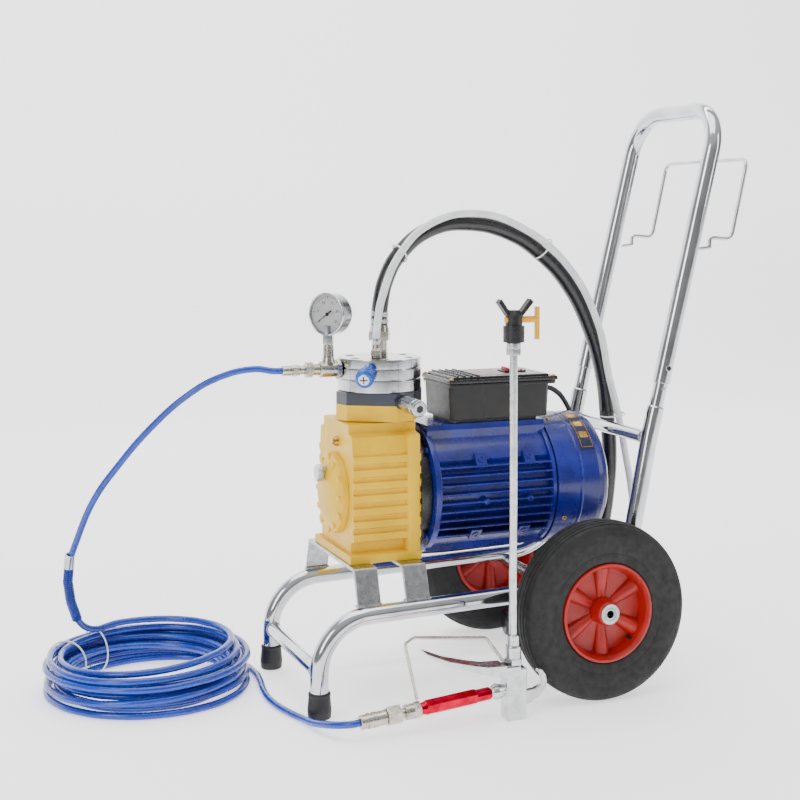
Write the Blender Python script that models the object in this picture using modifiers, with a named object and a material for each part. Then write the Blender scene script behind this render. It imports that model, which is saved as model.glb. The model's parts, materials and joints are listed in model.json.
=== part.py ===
"""Airless paint sprayer: a diaphragm pump and its motor on a two-wheeled cart, with its gun and hoses.

Everything is laid out in the cart's own frame: +X towards the handle, -Y the side with the gun,
+Z up, z = 0 the floor, y = 0 the plane through the motor shaft. The empty "cart" then carries
that frame to the middle of the footprint.
"""
import math

import bmesh
import bpy
from mathutils import Matrix, Vector

# ---------------------------------------------------------------- driving dimensions (metres)
CART_SHIFT = (-0.1513, 0.0074, 0.0)
GAP = 0.0003

TUBE_R = 0.0127
STUB_R = 0.0104
FRAME_Y = 0.1185
LEG_X = -0.184
LEG_FOOT_Z = 0.0055
RAIL_RISE = 0.0275
RAIL_Z_AT_LEG = 0.1322
FRONT_BEND_R = 0.074
REAR_BEND_R = 0.090
UPRIGHT_CORNER = (0.2880, 0.1450)
UPRIGHT_KNEE = (0.3308, 0.3600)
LOWER_TUBE_TOP = (0.3403, 0.3980)
UPRIGHT_LEAN = 0.245
STUB_LENGTH = 0.105

HANDLE_START_Z = 0.4345
HANDLE_TOP_Z = 0.8440
HANDLE_BEND_R = 0.065
SNAP_BUTTON_Z = 0.4262
SNAP_BUTTON_R = 0.0030
HANDLE_HOLE_Z = 0.4569
RACK_R = 0.0030

AXLE_X = 0.209
WHEEL_R = 0.127
WHEEL_Y = 0.188
TYRE_HALF_W = 0.028
BEAD_R = 0.0700
HUB_R = 0.0175
AXLE_R = 0.0085
AXLE_BORE_R = 0.0055
SPOKES = 6

STRAP_TOP_Z = 0.1955
STRAP_T = 0.005
STRAPS = {"pump_strap_front": (-0.129, -0.095), "pump_strap_rear": (-0.058, -0.0225)}

SHAFT_Z = 0.284
SHAFT_R = 0.0125
ECCENTRIC = 0.003
MOTOR_R = 0.0970
MOTOR_X = (-0.0020, 0.1900)
MOTOR_BORE_R = 0.074
FAN_COVER_R = 0.0985
FAN_COVER_END_X = 0.282

HOUSING_X = (-0.120, -0.0190)
HOUSING_HALF_W = 0.066
HEAD_X = -0.053
HEAD_R = 0.0605
HEAD_TURN = math.radians(31)
FLANGE_Z = (0.3900, 0.4127)
COLLAR_Z = (0.4130, 0.4305)
HEAD_Z = (0.4308, 0.4780)
PISTON_R = 0.012

OUTLET_Z = 0.4625
GAUGE_CENTRE = (-0.1310, 0.0, 0.5415)
GAUGE_R = 0.0313
GAUGE_FACING = (-0.817, -0.576, 0.0)

BOX_X = (0.0375, 0.1990)
BOX_HALF_W = 0.053
BOX_Z = (0.3850, 0.4380)
LID_X = (0.0355, 0.2105)
LID_TOP_Z = 0.4480
ROCKER = (0.160, 0.0)

GUN_Y = -0.2188
LANCE_X = 0.0590
LANCE_R = 0.0054
GRIP_START = (0.0457, GUN_Y, 0.0409)
GRIP_AXIS = (-0.9964, 0.0, -0.0847)

PAINT_HOSE_R = 0.005
SUCTION_HOSE_R = 0.012
RETURN_TUBE_R = 0.0055
MAINS_CABLE_R = 0.004

HOSE_COIL_CENTRE = (-0.373, 0.099)
HOSE_COIL_R = (0.100, 0.149)
HOSE_COIL_H = 0.058
MAINS_COIL_CENTRE = (0.305, -0.055)
MAINS_COIL_R = (0.033, 0.058)
MAINS_COIL_H = 0.0245

# Routes of the free hoses and cable, from where each leaves the machine.
HOSE_DROP_ROUTE = [
    (-0.2003, 0.000, 0.4625), (-0.2120, 0.000, 0.4628), (-0.2381, 0.008, 0.4660),
    (-0.2860, 0.025, 0.4540), (-0.3266, 0.040, 0.4292), (-0.3758, 0.065, 0.3805),
    (-0.4151, 0.085, 0.3300), (-0.4467, 0.110, 0.2778), (-0.4677, 0.135, 0.2168),
    (-0.4775, 0.150, 0.1760), (-0.4785, 0.158, 0.1500), (-0.4730, 0.168, 0.1180),
    (-0.4600, 0.181, 0.0860), (-0.4480, 0.192, 0.0616),
]
HOSE_RUN_ROUTE = [
    (-0.2186, 0.0850, 0.0055), (-0.2215, 0.0450, 0.0055), (-0.2285, 0.0000, 0.0055),
    (-0.2300, -0.0450, 0.0055), (-0.2200, -0.0980, 0.0055), (-0.2110, -0.1270, 0.0058),
    (-0.2060, -0.1550, 0.0085), (-0.1990, -0.1800, 0.0135), (-0.1885, -0.2010, 0.0180),
    (-0.1760, -0.2145, 0.0213), (-0.1680, -0.2185, 0.0227), (-0.1615, -0.2188, 0.0233),
]
SUCTION_ROUTE = [
    (-0.0530, 0.000, 0.5243), (-0.0530, 0.000, 0.5380), (-0.0505, 0.000, 0.5600),
    (-0.0440, 0.001, 0.5860), (-0.0220, 0.003, 0.6248), (0.0324, 0.008, 0.6636),
    (0.0981, 0.013, 0.6713), (0.1695, 0.020, 0.6547), (0.2180, 0.026, 0.6268),
    (0.2685, 0.034, 0.5814), (0.3157, 0.045, 0.5094), (0.3470, 0.055, 0.4277),
    (0.3580, 0.060, 0.3638), (0.3641, 0.062, 0.3020), (0.3610, 0.064, 0.2354),
    (0.3560, 0.068, 0.1900), (0.3500, 0.074, 0.1500), (0.3390, 0.083, 0.1080),
    (0.3200, 0.094, 0.0700), (0.3010, 0.104, 0.0460), (0.2787, 0.1151, 0.02905),
    (0.2640, 0.118, 0.0280),
]
STRAINER = ((0.2637, 0.1181, 0.0278), (0.2080, 0.1290, 0.0238))
RETURN_ROUTE = [
    (-0.0660, -0.0230, 0.4978), (-0.0660, -0.0230, 0.5080), (-0.0640, -0.0250, 0.5350),
    (-0.0590, -0.0255, 0.5620), (-0.0252, -0.0180, 0.6305), (0.0250, -0.0100, 0.6717),
    (0.0992, -0.0040, 0.6860), (0.1759, 0.0020, 0.6655), (0.2560, 0.0100, 0.6102),
    (0.3189, 0.0220, 0.5168), (0.3471, 0.0320, 0.4243), (0.3660, 0.0370, 0.3658),
    (0.3803, 0.0400, 0.3041), (0.3920, 0.0420, 0.2491), (0.3980, 0.0430, 0.1950),
    (0.4010, 0.0430, 0.1400), (0.3990, 0.0420, 0.0900), (0.3900, 0.0400, 0.0480),
    (0.3720, 0.0370, 0.0190), (0.3480, 0.0340, 0.0072), (0.3320, 0.0325, 0.0058),
]
MAINS_ROUTE = [
    (0.2213, 0.020, 0.4180), (0.2300, 0.020, 0.4180), (0.2490, 0.025, 0.4100),
    (0.2680, 0.034, 0.3930), (0.2840, 0.043, 0.3680), (0.2930, 0.048, 0.3350),
    (0.2970, 0.045, 0.2900), (0.2980, 0.034, 0.2400), (0.2980, 0.018, 0.1850),
    (0.2980, 0.004, 0.1300), (0.2985, -0.004, 0.0800), (0.3000, -0.010, 0.0400),
    (0.3010, -0.012, 0.0256),
]
PLUG = ((0.2700, -0.1085, 0.0200), (0.2200, -0.1085, 0.0200))

# ---------------------------------------------------------------- orientations of drawn shapes
QUARTER = math.pi / 2
ALONG_X = (QUARTER, 0, QUARTER)
ALONG_Y = (QUARTER, 0, 0)
TURN_X = (0, QUARTER, 0)
TURN_BACK_X = (0, -QUARTER, 0)
TURN_NEAR = (QUARTER, 0, 0)
TURN_FAR = (-QUARTER, 0, 0)
SIDES = {"near": -1, "far": 1}


def clear_scene():
    for obj in list(bpy.data.objects):
        bpy.data.objects.remove(obj, do_unlink=True)


def new_collection(name):
    collection = bpy.data.collections.new(name)
    bpy.context.scene.collection.children.link(collection)
    return collection


clear_scene()
PARTS = new_collection("airless_paint_sprayer")
CUTTERS = new_collection("cutters")
CART = bpy.data.objects.new("cart", None)
CART.location = CART_SHIFT
PARTS.objects.link(CART)


# ---------------------------------------------------------------- materials
def make_material(name, rgb, roughness, metallic=0.0):
    material = bpy.data.materials.new(name)
    material.use_nodes = True
    shader = material.node_tree.nodes["Principled BSDF"]
    shader.inputs["Base Color"].default_value = (*rgb, 1.0)
    shader.inputs["Roughness"].default_value = roughness
    shader.inputs["Metallic"].default_value = metallic
    material.diffuse_color = (*rgb, 1.0)
    return material


CHROME = make_material("chrome_plate", (0.80, 0.80, 0.82), 0.12, 1.0)
STEEL = make_material("machined_steel", (0.62, 0.62, 0.63), 0.30, 1.0)
BRASS = make_material("brass", (0.80, 0.58, 0.22), 0.28, 1.0)
YELLOW = make_material("yellow_paint", (0.95, 0.55, 0.005), 0.35)
BLUE = make_material("blue_paint", (0.01, 0.06, 0.38), 0.25)
NAVY = make_material("navy_paint", (0.02, 0.03, 0.07), 0.35)
RED = make_material("red_plastic", (0.62, 0.03, 0.02), 0.35)
RED_ANODISED = make_material("red_anodised", (0.60, 0.01, 0.07), 0.25, 1.0)
RUBBER = make_material("black_rubber", (0.02, 0.02, 0.022), 0.75)
BLACK = make_material("black_plastic", (0.02, 0.02, 0.022), 0.45)
COPPER = make_material("copper_winding", (0.60, 0.25, 0.12), 0.4, 1.0)
HOSE_BLUE = make_material("blue_hose", (0.01, 0.09, 0.50), 0.35)
WHITE = make_material("white_tube", (0.85, 0.85, 0.86), 0.35)
SWITCH_YELLOW = make_material("tip_yellow", (0.95, 0.50, 0.01), 0.4)


# ---------------------------------------------------------------- shape helpers
def add_object(name, data, material, location, rotation, cutter):
    obj = bpy.data.objects.new(name, data)
    if material is not None:
        data.materials.append(material)
    (CUTTERS if cutter else PARTS).objects.link(obj)
    obj.parent = CART
    obj.location = location
    obj.rotation_euler = rotation
    if cutter:
        obj.hide_render = True
        obj.display_type = "WIRE"
    return obj


def turned(name, profile, material=None, location=(0, 0, 0), rotation=(0, 0, 0),
           steps=24, ring=False, cutter=False):
    """A body of revolution about local Z. The profile is (radius, height), top to bottom outside."""
    count = len(profile)
    edges = [(i, i + 1) for i in range(count - 1)]
    if ring:
        edges.append((count - 1, 0))
    mesh = bpy.data.meshes.new(name)
    mesh.from_pydata([(r, 0.0, h) for r, h in profile], edges, [])
    obj = add_object(name, mesh, material, location, rotation, cutter)
    screw = obj.modifiers.new("turn", "SCREW")
    screw.angle = math.tau
    screw.steps = steps
    screw.render_steps = steps
    screw.use_merge_vertices = True
    screw.merge_threshold = 0.00001
    screw.use_smooth_shade = True
    return obj


def rod_profile(*stations):
    """Profile of a stepped solid rod: (height, radius) stations from top to bottom."""
    profile = [(0.0, stations[0][0])]
    profile += [(radius, height) for height, radius in stations]
    profile.append((0.0, stations[-1][0]))
    return profile


def cylinder(name, radius, low, high, material=None, location=(0, 0, 0), rotation=(0, 0, 0),
             steps=24, cutter=False):
    return turned(name, rod_profile((high, radius), (low, radius)), material, location, rotation,
                  steps, False, cutter)


def ring_profile(inner, outer, low, high):
    return [(outer, high), (outer, low), (inner, low), (inner, high)]


def box(name, low, high, material=None, bevel=0.0, cutter=False, segments=2):
    """A box between two corners of the cart's frame, its edges rounded by bevel."""
    low, high = Vector(low), Vector(high)
    bm = bmesh.new()
    bmesh.ops.create_cube(bm, size=1.0)
    bmesh.ops.scale(bm, vec=high - low, verts=bm.verts)
    mesh = bpy.data.meshes.new(name)
    bm.to_mesh(mesh)
    bm.free()
    obj = add_object(name, mesh, material, (low + high) / 2, (0, 0, 0), cutter)
    if bevel:
        modifier = obj.modifiers.new("rounded_edges", "BEVEL")
        modifier.width = bevel
        modifier.segments = segments
    return obj


def as_mesh(obj):
    """Swap a curve object for the closed mesh that it draws, in the same place."""
    bpy.context.view_layer.update()
    evaluated = obj.evaluated_get(bpy.context.evaluated_depsgraph_get())
    mesh = bpy.data.meshes.new_from_object(evaluated)
    bm = bmesh.new()
    bm.from_mesh(mesh)
    bmesh.ops.remove_doubles(bm, verts=bm.verts, dist=0.00002)
    bm.to_mesh(mesh)
    bm.free()
    name, cutter = obj.name, obj.hide_render
    matrix = obj.matrix_world.copy()
    bpy.data.objects.remove(obj, do_unlink=True)
    solid = add_object(name, mesh, None, (0, 0, 0), (0, 0, 0), cutter)
    bpy.context.view_layer.update()
    solid.matrix_world = matrix
    return solid


def prism(name, outlines, thickness, material=None, location=(0, 0, 0), rotation=(0, 0, 0),
          cutter=False):
    """A flat outline, with any holes, drawn in local XY and given a thickness along local Z."""
    curve = bpy.data.curves.new(name, "CURVE")
    curve.dimensions = "2D"
    curve.fill_mode = "BOTH"
    curve.extrude = thickness / 2
    for outline in outlines:
        spline = curve.splines.new("POLY")
        spline.points.add(len(outline) - 1)
        for point, (x, y) in zip(spline.points, outline):
            point.co = (x, y, 0.0, 1.0)
        spline.use_cyclic_u = True
    return as_mesh(add_object(name, curve, material, location, rotation, cutter))


def tube(name, points, radius, material=None, resolution=2, widths=None, cutter=False):
    """A round rod along a list of points, with flat closed ends."""
    curve = bpy.data.curves.new(name, "CURVE")
    curve.dimensions = "3D"
    curve.bevel_depth = radius
    curve.bevel_resolution = resolution
    curve.use_fill_caps = True
    spline = curve.splines.new("POLY")
    spline.points.add(len(points) - 1)
    for index, (x, y, z) in enumerate(points):
        spline.points[index].co = (x, y, z, 1.0)
        if widths:
            spline.points[index].radius = widths[index]
    return add_object(name, curve, material, (0, 0, 0), (0, 0, 0), cutter)


def combine(obj, other, operation):
    modifier = obj.modifiers.new(operation.lower(), "BOOLEAN")
    modifier.operation = operation
    modifier.solver = "EXACT"
    modifier.object = other
    return obj


def cut(obj, *cutters):
    for cutter in cutters:
        combine(obj, cutter, "DIFFERENCE")
    return obj


def join(obj, *additions):
    for addition in additions:
        combine(obj, addition, "UNION")
    return obj


def aim(direction):
    """Rotation that points local Z along a direction."""
    return Vector(direction).to_track_quat("Z", "Y").to_euler()


def between(start, end):
    """Length and rotation of a piece drawn from start along local Z to end."""
    run = Vector(end) - Vector(start)
    return run.length, aim(run)


def arc(centre, radius, start_deg, end_deg, steps):
    return [(centre[0] + radius * math.cos(math.radians(a)), centre[1] + radius * math.sin(math.radians(a)))
            for a in (start_deg + (end_deg - start_deg) * i / steps for i in range(steps + 1))]


def rounded_route(corners, radii, steps=6):
    """Straight runs between corners, each inner corner rounded to its bend radius."""
    corners = [Vector(corner) for corner in corners]
    route = [corners[0]]
    for before, corner, after, radius in zip(corners, corners[1:], corners[2:], radii):
        back = (before - corner).normalized()
        ahead = (after - corner).normalized()
        half = back.angle(ahead) / 2
        if radius == 0:
            route.append(corner)
            continue
        centre = corner + (back + ahead).normalized() * (radius / math.sin(half))
        start = corner + back * (radius / math.tan(half)) - centre
        end = corner + ahead * (radius / math.tan(half)) - centre
        sweep = start.angle(end)
        for i in range(steps + 1):
            share = i / steps
            spoke = start * math.sin((1 - share) * sweep) + end * math.sin(share * sweep)
            route.append(centre + spoke / math.sin(sweep))
    route.append(corners[-1])
    return [tuple(point) for point in route]


def smooth_route(points, spacing):
    """Points evenly along the smooth curve through a hand-laid route, its two ends square."""
    points = [Vector(point) for point in points]
    ends = [2 * points[0] - points[1]] + points + [2 * points[-1] - points[-2]]
    fine = []
    for a, b, c, d in zip(ends, ends[1:], ends[2:], ends[3:]):
        for i in range(24):
            t = i / 24
            fine.append(0.5 * (2 * b + (c - a) * t + (2 * a - 5 * b + 4 * c - d) * t * t
                               + (3 * b - a - 3 * c + d) * t ** 3))
    fine.append(points[-1])
    lengths = [0.0]
    for a, b in zip(fine, fine[1:]):
        lengths.append(lengths[-1] + (b - a).length)
    count = max(2, round(lengths[-1] / spacing))
    square = 0.004
    first, last = points[0], points[-1]
    route, index = [tuple(first), tuple(first + (points[1] - first).normalized() * square)], 0
    for i in range(1, count):
        target = lengths[-1] * i / count
        while index < len(fine) - 2 and lengths[index + 1] < target:
            index += 1
        share = (target - lengths[index]) / (lengths[index + 1] - lengths[index])
        route.append(tuple(fine[index].lerp(fine[index + 1], min(1.0, share))))
    return route + [tuple(last + (points[-2] - last).normalized() * square), tuple(last)]


def chamfered_square(half, chamfer, turn):
    """Outline of a square with cut corners, turned about its centre."""
    outline = []
    for quarter in range(4):
        for x, y in ((half, -half + chamfer), (half, half - chamfer)):
            angle = quarter * QUARTER + turn
            outline.append((x * math.cos(angle) - y * math.sin(angle),
                            x * math.sin(angle) + y * math.cos(angle)))
    return outline


def hexagon(across_flats):
    corner = across_flats / math.sqrt(3)
    return [(corner * math.cos(math.radians(60 * i)), corner * math.sin(math.radians(60 * i)))
            for i in range(6)]


# ---------------------------------------------------------------- cart
def rail_z(x):
    return RAIL_Z_AT_LEG + RAIL_RISE * (x - LEG_X)


def upright_x(z):
    return LOWER_TUBE_TOP[0] + UPRIGHT_LEAN * (z - LOWER_TUBE_TOP[1])


def side_tube(side):
    """One bent tube: leg, rail, upright, and the thinner stub that the handle slides on."""
    y = SIDES[side] * FRAME_Y
    lean = Vector((UPRIGHT_LEAN, 0, 1)).normalized()
    top = Vector((LOWER_TUBE_TOP[0], y, LOWER_TUBE_TOP[1]))
    corners = [
        (LEG_X, y, LEG_FOOT_Z), (LEG_X, y, rail_z(LEG_X)),
        (UPRIGHT_CORNER[0], y, UPRIGHT_CORNER[1]),
        (UPRIGHT_KNEE[0], y, UPRIGHT_KNEE[1]), tuple(top),
    ]
    route = rounded_route(corners, (FRONT_BEND_R, REAR_BEND_R, 0), 7)
    widths = [1.0] * len(route)
    route += [tuple(top + lean * 0.0008), tuple(top + lean * STUB_LENGTH)]
    widths += [STUB_R / TUBE_R] * 2
    body = as_mesh(tube("side_tube_" + side, route, TUBE_R, CHROME, 4, widths))
    notch = cylinder("axle_notch_" + side, AXLE_R + GAP, -0.03, 0.03, None,
                     (AXLE_X, y, WHEEL_R), TURN_NEAR, 24, True)
    pocket = cylinder("button_pocket_" + side, SNAP_BUTTON_R + GAP, -0.0005, 0.03, None,
                      (upright_x(SNAP_BUTTON_Z), y, SNAP_BUTTON_Z), TURN_NEAR, 12, True)
    return cut(body, notch, pocket)


def cross_tube(name, x, z, radius):
    reach = FRAME_Y - TUBE_R - GAP
    return tube(name, [(x, -reach, z), (x, reach, z)], radius, CHROME, 4)


def rubber_foot(side):
    shape = [(0.0152, 0.0355), (0.0165, 0.0120), (0.0130, 0.0), (0.0, 0.0)]
    bore = cylinder("foot_bore_" + side, TUBE_R + GAP, 0.0052, 0.05, None,
                    (LEG_X, SIDES[side] * FRAME_Y, 0), (0, 0, 0), 24, True)
    foot = turned("rubber_foot_" + side, [(0.0, 0.0355)] + shape, RUBBER,
                  (LEG_X, SIDES[side] * FRAME_Y, 0))
    return cut(foot, bore)


def pump_strap(name, x_low, x_high):
    """A flat bar bent into a saddle across the two rails."""
    foot_z = rail_z(x_high) + TUBE_R + GAP
    outer = [(FRAME_Y + 0.003, foot_z), (0.1065, STRAP_TOP_Z - 0.004), (0.1030, STRAP_TOP_Z)]
    inner = [(0.1005, STRAP_TOP_Z - STRAP_T), (FRAME_Y - 0.0025, foot_z)]
    outline = outer + [(-y, z) for y, z in reversed(outer)]
    outline += [(-y, z) for y, z in reversed(inner)] + inner
    return prism(name, [outline], x_high - x_low, STEEL, ((x_low + x_high) / 2, 0, 0), ALONG_X)


def axle():
    half = 0.2185
    return turned("axle", ring_profile(AXLE_BORE_R, AXLE_R, -half, half), STEEL,
                  (AXLE_X, 0, WHEEL_R), TURN_FAR, 24, True)


def tyre(side):
    depth = WHEEL_R - BEAD_R
    profile = []
    for i in range(13):
        angle = math.pi * i / 12
        across = math.copysign(abs(math.cos(angle)) ** 0.55, math.cos(angle))
        out = math.sin(angle) ** 0.62
        profile.append((BEAD_R + depth * out, TYRE_HALF_W * across))
    turn = TURN_NEAR if side == "near" else TURN_FAR
    return turned("tyre_" + side, profile, RUBBER, (AXLE_X, SIDES[side] * WHEEL_Y, WHEEL_R), turn,
                  40, True)


def rim(side):
    """Moulded rim: outer barrel, a central web, a hub, and conical spokes through the web."""
    turn = TURN_NEAR if side == "near" else TURN_FAR
    place = (AXLE_X, SIDES[side] * WHEEL_Y, WHEEL_R)
    bore, out, lip = AXLE_R + GAP, BEAD_R - GAP, 0.0262
    profile = [
        (out, lip), (out, -lip), (0.0640, -lip), (0.0600, -0.002), (HUB_R, -0.002),
        (HUB_R, -0.034), (bore, -0.034), (bore, 0.0305), (HUB_R - 0.001, 0.0305),
        (HUB_R, 0.002), (0.0600, 0.002), (0.0640, lip),
    ]
    body = turned("rim_" + side, profile, RED, place, turn, 40, True)
    for i in range(SPOKES):
        angle = math.tau * i / SPOKES
        spoke = turned("spoke_%s_%d" % (side, i), rod_profile((0.0615, 0.0125), (0.0150, 0.0070)),
                       None, place, (0, 0, 0), 10, False, True)
        spoke.rotation_euler = (0, angle, 0)
        join(body, spoke)
    return body


def handle():
    """The U-shaped handle tube, bored at its two ends to slide on the stubs."""
    top_x = upright_x(HANDLE_TOP_Z)
    corners = [(upright_x(HANDLE_START_Z), -FRAME_Y, HANDLE_START_Z), (top_x, -FRAME_Y, HANDLE_TOP_Z),
               (top_x, FRAME_Y, HANDLE_TOP_Z), (upright_x(HANDLE_START_Z), FRAME_Y, HANDLE_START_Z)]
    body = as_mesh(tube("handle", rounded_route(corners, (HANDLE_BEND_R,) * 2, 7), TUBE_R, CHROME, 4))
    for side, sign in SIDES.items():
        start = Vector((upright_x(HANDLE_START_Z), sign * FRAME_Y, HANDLE_START_Z))
        lean = Vector((UPRIGHT_LEAN, 0, 1)).normalized()
        bore = tube("handle_bore_" + side, [tuple(start - lean * 0.02), tuple(start + lean * 0.125)],
                    STUB_R + GAP, None, 4, None, True)
        hole = cylinder("button_hole_" + side, SNAP_BUTTON_R + 0.0004, 0.005, 0.03, None,
                        (upright_x(HANDLE_HOLE_Z), sign * FRAME_Y, HANDLE_HOLE_Z), TURN_NEAR, 12, True)
        cut(body, as_mesh(bore), hole)
    return body


def hose_rack():
    """A bent rod that stands out behind the handle, for the coiled hose."""
    y = FRAME_Y - 0.003
    foot = [(0.4335, 0.6345), (0.4345, 0.6500), (0.4723, 0.6470), (0.5001, 0.7685)]
    corners = [(x, -y, z) for x, z in foot] + [(x, y, z) for x, z in reversed(foot)]
    radii = (0.006, 0.012, 0.014, 0.014, 0.012, 0.006)
    return tube("hose_rack", rounded_route(corners, radii, 4), RACK_R, CHROME, 2)


def snap_button(side):
    x, y = upright_x(SNAP_BUTTON_Z), SIDES[side] * FRAME_Y
    profile = rod_profile((STUB_R + 0.0030, 0.0016), (STUB_R + 0.0018, SNAP_BUTTON_R),
                          (0.0062, SNAP_BUTTON_R))
    return turned("snap_button_" + side, profile, STEEL, (x, y, SNAP_BUTTON_Z), TURN_NEAR, 12)


# ---------------------------------------------------------------- motor
def motor_body():
    """Finned frame: one section along the shaft, bored for the stator, with a rear wall."""
    outline = []
    level_count = 9
    pitch = 0.0158
    root = 0.0860
    fin_half = 0.0016
    levels = [(i - (level_count - 1) / 2) * pitch for i in range(level_count)]
    for level in levels:
        tip = math.sqrt(MOTOR_R ** 2 - level ** 2)
        base = math.sqrt(root ** 2 - level ** 2)
        outline += [(base, level - fin_half), (tip, level - fin_half), (tip, level + fin_half),
                    (base, level + fin_half)]
    top = [(0.052, 0.0810), (0.0490, 0.0950), (0.0, 0.0965)]
    side = outline + top
    mirrored = [(-y, z) for y, z in reversed(side[:-1])]
    bottom = [(-0.0520, -0.0800), (0.0520, -0.0800)]
    section = side + mirrored + bottom
    bore = arc((0, 0), MOTOR_BORE_R, 0, 360 - 12, 29)
    middle = (MOTOR_X[0] + MOTOR_X[1]) / 2
    body = prism("motor_body", [section, bore], MOTOR_X[1] - MOTOR_X[0], BLUE,
                 (middle, 0, SHAFT_Z), ALONG_X)
    wall = turned("motor_rear_wall", ring_profile(0.0263, MOTOR_BORE_R + 0.004, 0.178, 0.1895), None,
                  (0, 0, SHAFT_Z), TURN_X, 30, True, True)
    return join(body, wall)


def stator():
    return turned("stator", ring_profile(0.0460, MOTOR_BORE_R - GAP - 0.0005, 0.030, 0.150), COPPER,
                  (0, 0, SHAFT_Z), TURN_X, 30, True)


def rotor_shaft():
    """Rotor core on its shaft, with the eccentric that drives the piston turned on the pump end."""
    profile = rod_profile(
        (0.262, 0.0080), (0.205, 0.0080), (0.205, 0.0125), (0.146, 0.0125), (0.146, 0.0445),
        (0.034, 0.0445), (0.034, SHAFT_R), (-0.100, SHAFT_R))
    shaft = turned("rotor_shaft", profile, STEEL, (0, 0, SHAFT_Z), TURN_X, 24)
    eccentric = cylinder("eccentric", 0.0220, -0.068, -0.038, None, (0, 0, SHAFT_Z - ECCENTRIC),
                         TURN_X, 24, True)
    return join(shaft, eccentric)


def bearing(name, low, high):
    return turned(name, ring_profile(SHAFT_R + GAP, 0.0260, low, high), STEEL, (0, 0, SHAFT_Z),
                  TURN_X, 24, True)


def cooling_fan():
    place = (0, 0, SHAFT_Z)
    hub = turned("cooling_fan", ring_profile(0.0083, 0.020, 0.212, 0.240), BLACK, place, TURN_X, 24, True)
    for i in range(6):
        blade = box("fan_blade_%d" % i, (0.214, -0.0012, 0.015), (0.238, 0.0012, 0.082), None, 0, True)
        middle = Vector((0.226, 0, 0.0485))
        angle = math.tau * i / 6
        turn = Matrix.Rotation(angle, 4, "X")
        blade.location = Vector(place) + turn @ middle
        blade.rotation_euler = (angle, 0, 0)
        join(hub, blade)
    return hub


def fan_cover():
    """Pressed cover over the fan, open towards the motor, with air slots in its back."""
    low, end = MOTOR_X[1] + GAP, FAN_COVER_END_X
    outer = [(0.030, end), (0.0800, end - 0.001), (0.0920, end - 0.008), (FAN_COVER_R, end - 0.022),
             (FAN_COVER_R, low)]
    inner = [(FAN_COVER_R - 0.0020, low), (FAN_COVER_R - 0.0020, end - 0.021), (0.0905, end - 0.010),
             (0.0790, end - 0.003), (0.030, end - 0.002)]
    cover = turned("fan_cover", outer + inner, BLUE, (0, 0, SHAFT_Z), TURN_X, 36, True)
    return cover


def motor_adapter():
    """Black ring between pump housing and motor; it holds the front bearing."""
    low, high = HOUSING_X[1] + GAP, MOTOR_X[0] - GAP
    return turned("motor_adapter", ring_profile(0.0263, 0.083, low, high), BLACK, (0, 0, SHAFT_Z),
                  TURN_X, 32, True)


# ---------------------------------------------------------------- control box
def control_box():
    low = (BOX_X[0], -BOX_HALF_W, BOX_Z[0])
    high = (BOX_X[1], BOX_HALF_W, BOX_Z[1])
    body = box("control_box", low, high, BLACK, 0.003)
    hollow = box("box_hollow", (low[0] + 0.003, low[1] + 0.003, low[2] + 0.003),
                 (high[0] - 0.003, high[1] - 0.003, high[2] + 0.01), None, 0, True)
    return cut(body, hollow)


def box_lid():
    low = (LID_X[0], -BOX_HALF_W - 0.002, BOX_Z[1] + GAP)
    high = (LID_X[1], BOX_HALF_W + 0.002, LID_TOP_Z)
    lid = box("box_lid", low, high, BLACK, 0.002)
    pocket = box("rocker_pocket", (ROCKER[0] - 0.0145, ROCKER[1] - 0.0110, LID_TOP_Z - 0.006),
                 (ROCKER[0] + 0.0145, ROCKER[1] + 0.0110, LID_TOP_Z + 0.01), None, 0, True)
    return cut(lid, pocket)


def rocker_switch():
    """A rocker whose underside clears its pocket as it tips about the Y axis."""
    outline = [(-0.0130, 0.0075), (-0.0060, 0.0030), (0.0060, 0.0012), (0.0130, 0.0045),
               (0.0130, 0.0000), (0.0030, -0.0035), (-0.0030, -0.0035), (-0.0130, 0.0010)]
    return prism("rocker_switch", [outline], 0.0200, RED, (ROCKER[0], ROCKER[1], LID_TOP_Z), ALONG_Y)


def cable_gland():
    profile = rod_profile((0.0220, 0.0052), (0.0060, 0.0075), (0.0060, 0.0095), (0.0003, 0.0095))
    return turned("cable_gland", profile, BLACK, (BOX_X[1], MAINS_ROUTE[0][1], MAINS_ROUTE[0][2]),
                  TURN_X, 12)


# ---------------------------------------------------------------- pump
def housing_section():
    """Cross-section of the gear housing, with the cooling ribs of both sides."""
    side = [(0.0810, 0.1958), (0.0810, 0.2075), (HOUSING_HALF_W, 0.2095), (HOUSING_HALF_W, 0.2230)]
    rib_z = [0.2310 + 0.0181 * i for i in range(7)]
    for z in rib_z:
        side += [(0.0740, z - 0.0062), (0.0785, z - 0.0040), (0.0785, z + 0.0052), (0.0740, z + 0.0064)]
    side += [(0.0700, 0.3720), (0.0560, 0.3760), (0.0560, 0.3885)]
    return side + [(-y, z) for y, z in reversed(side)]


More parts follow.
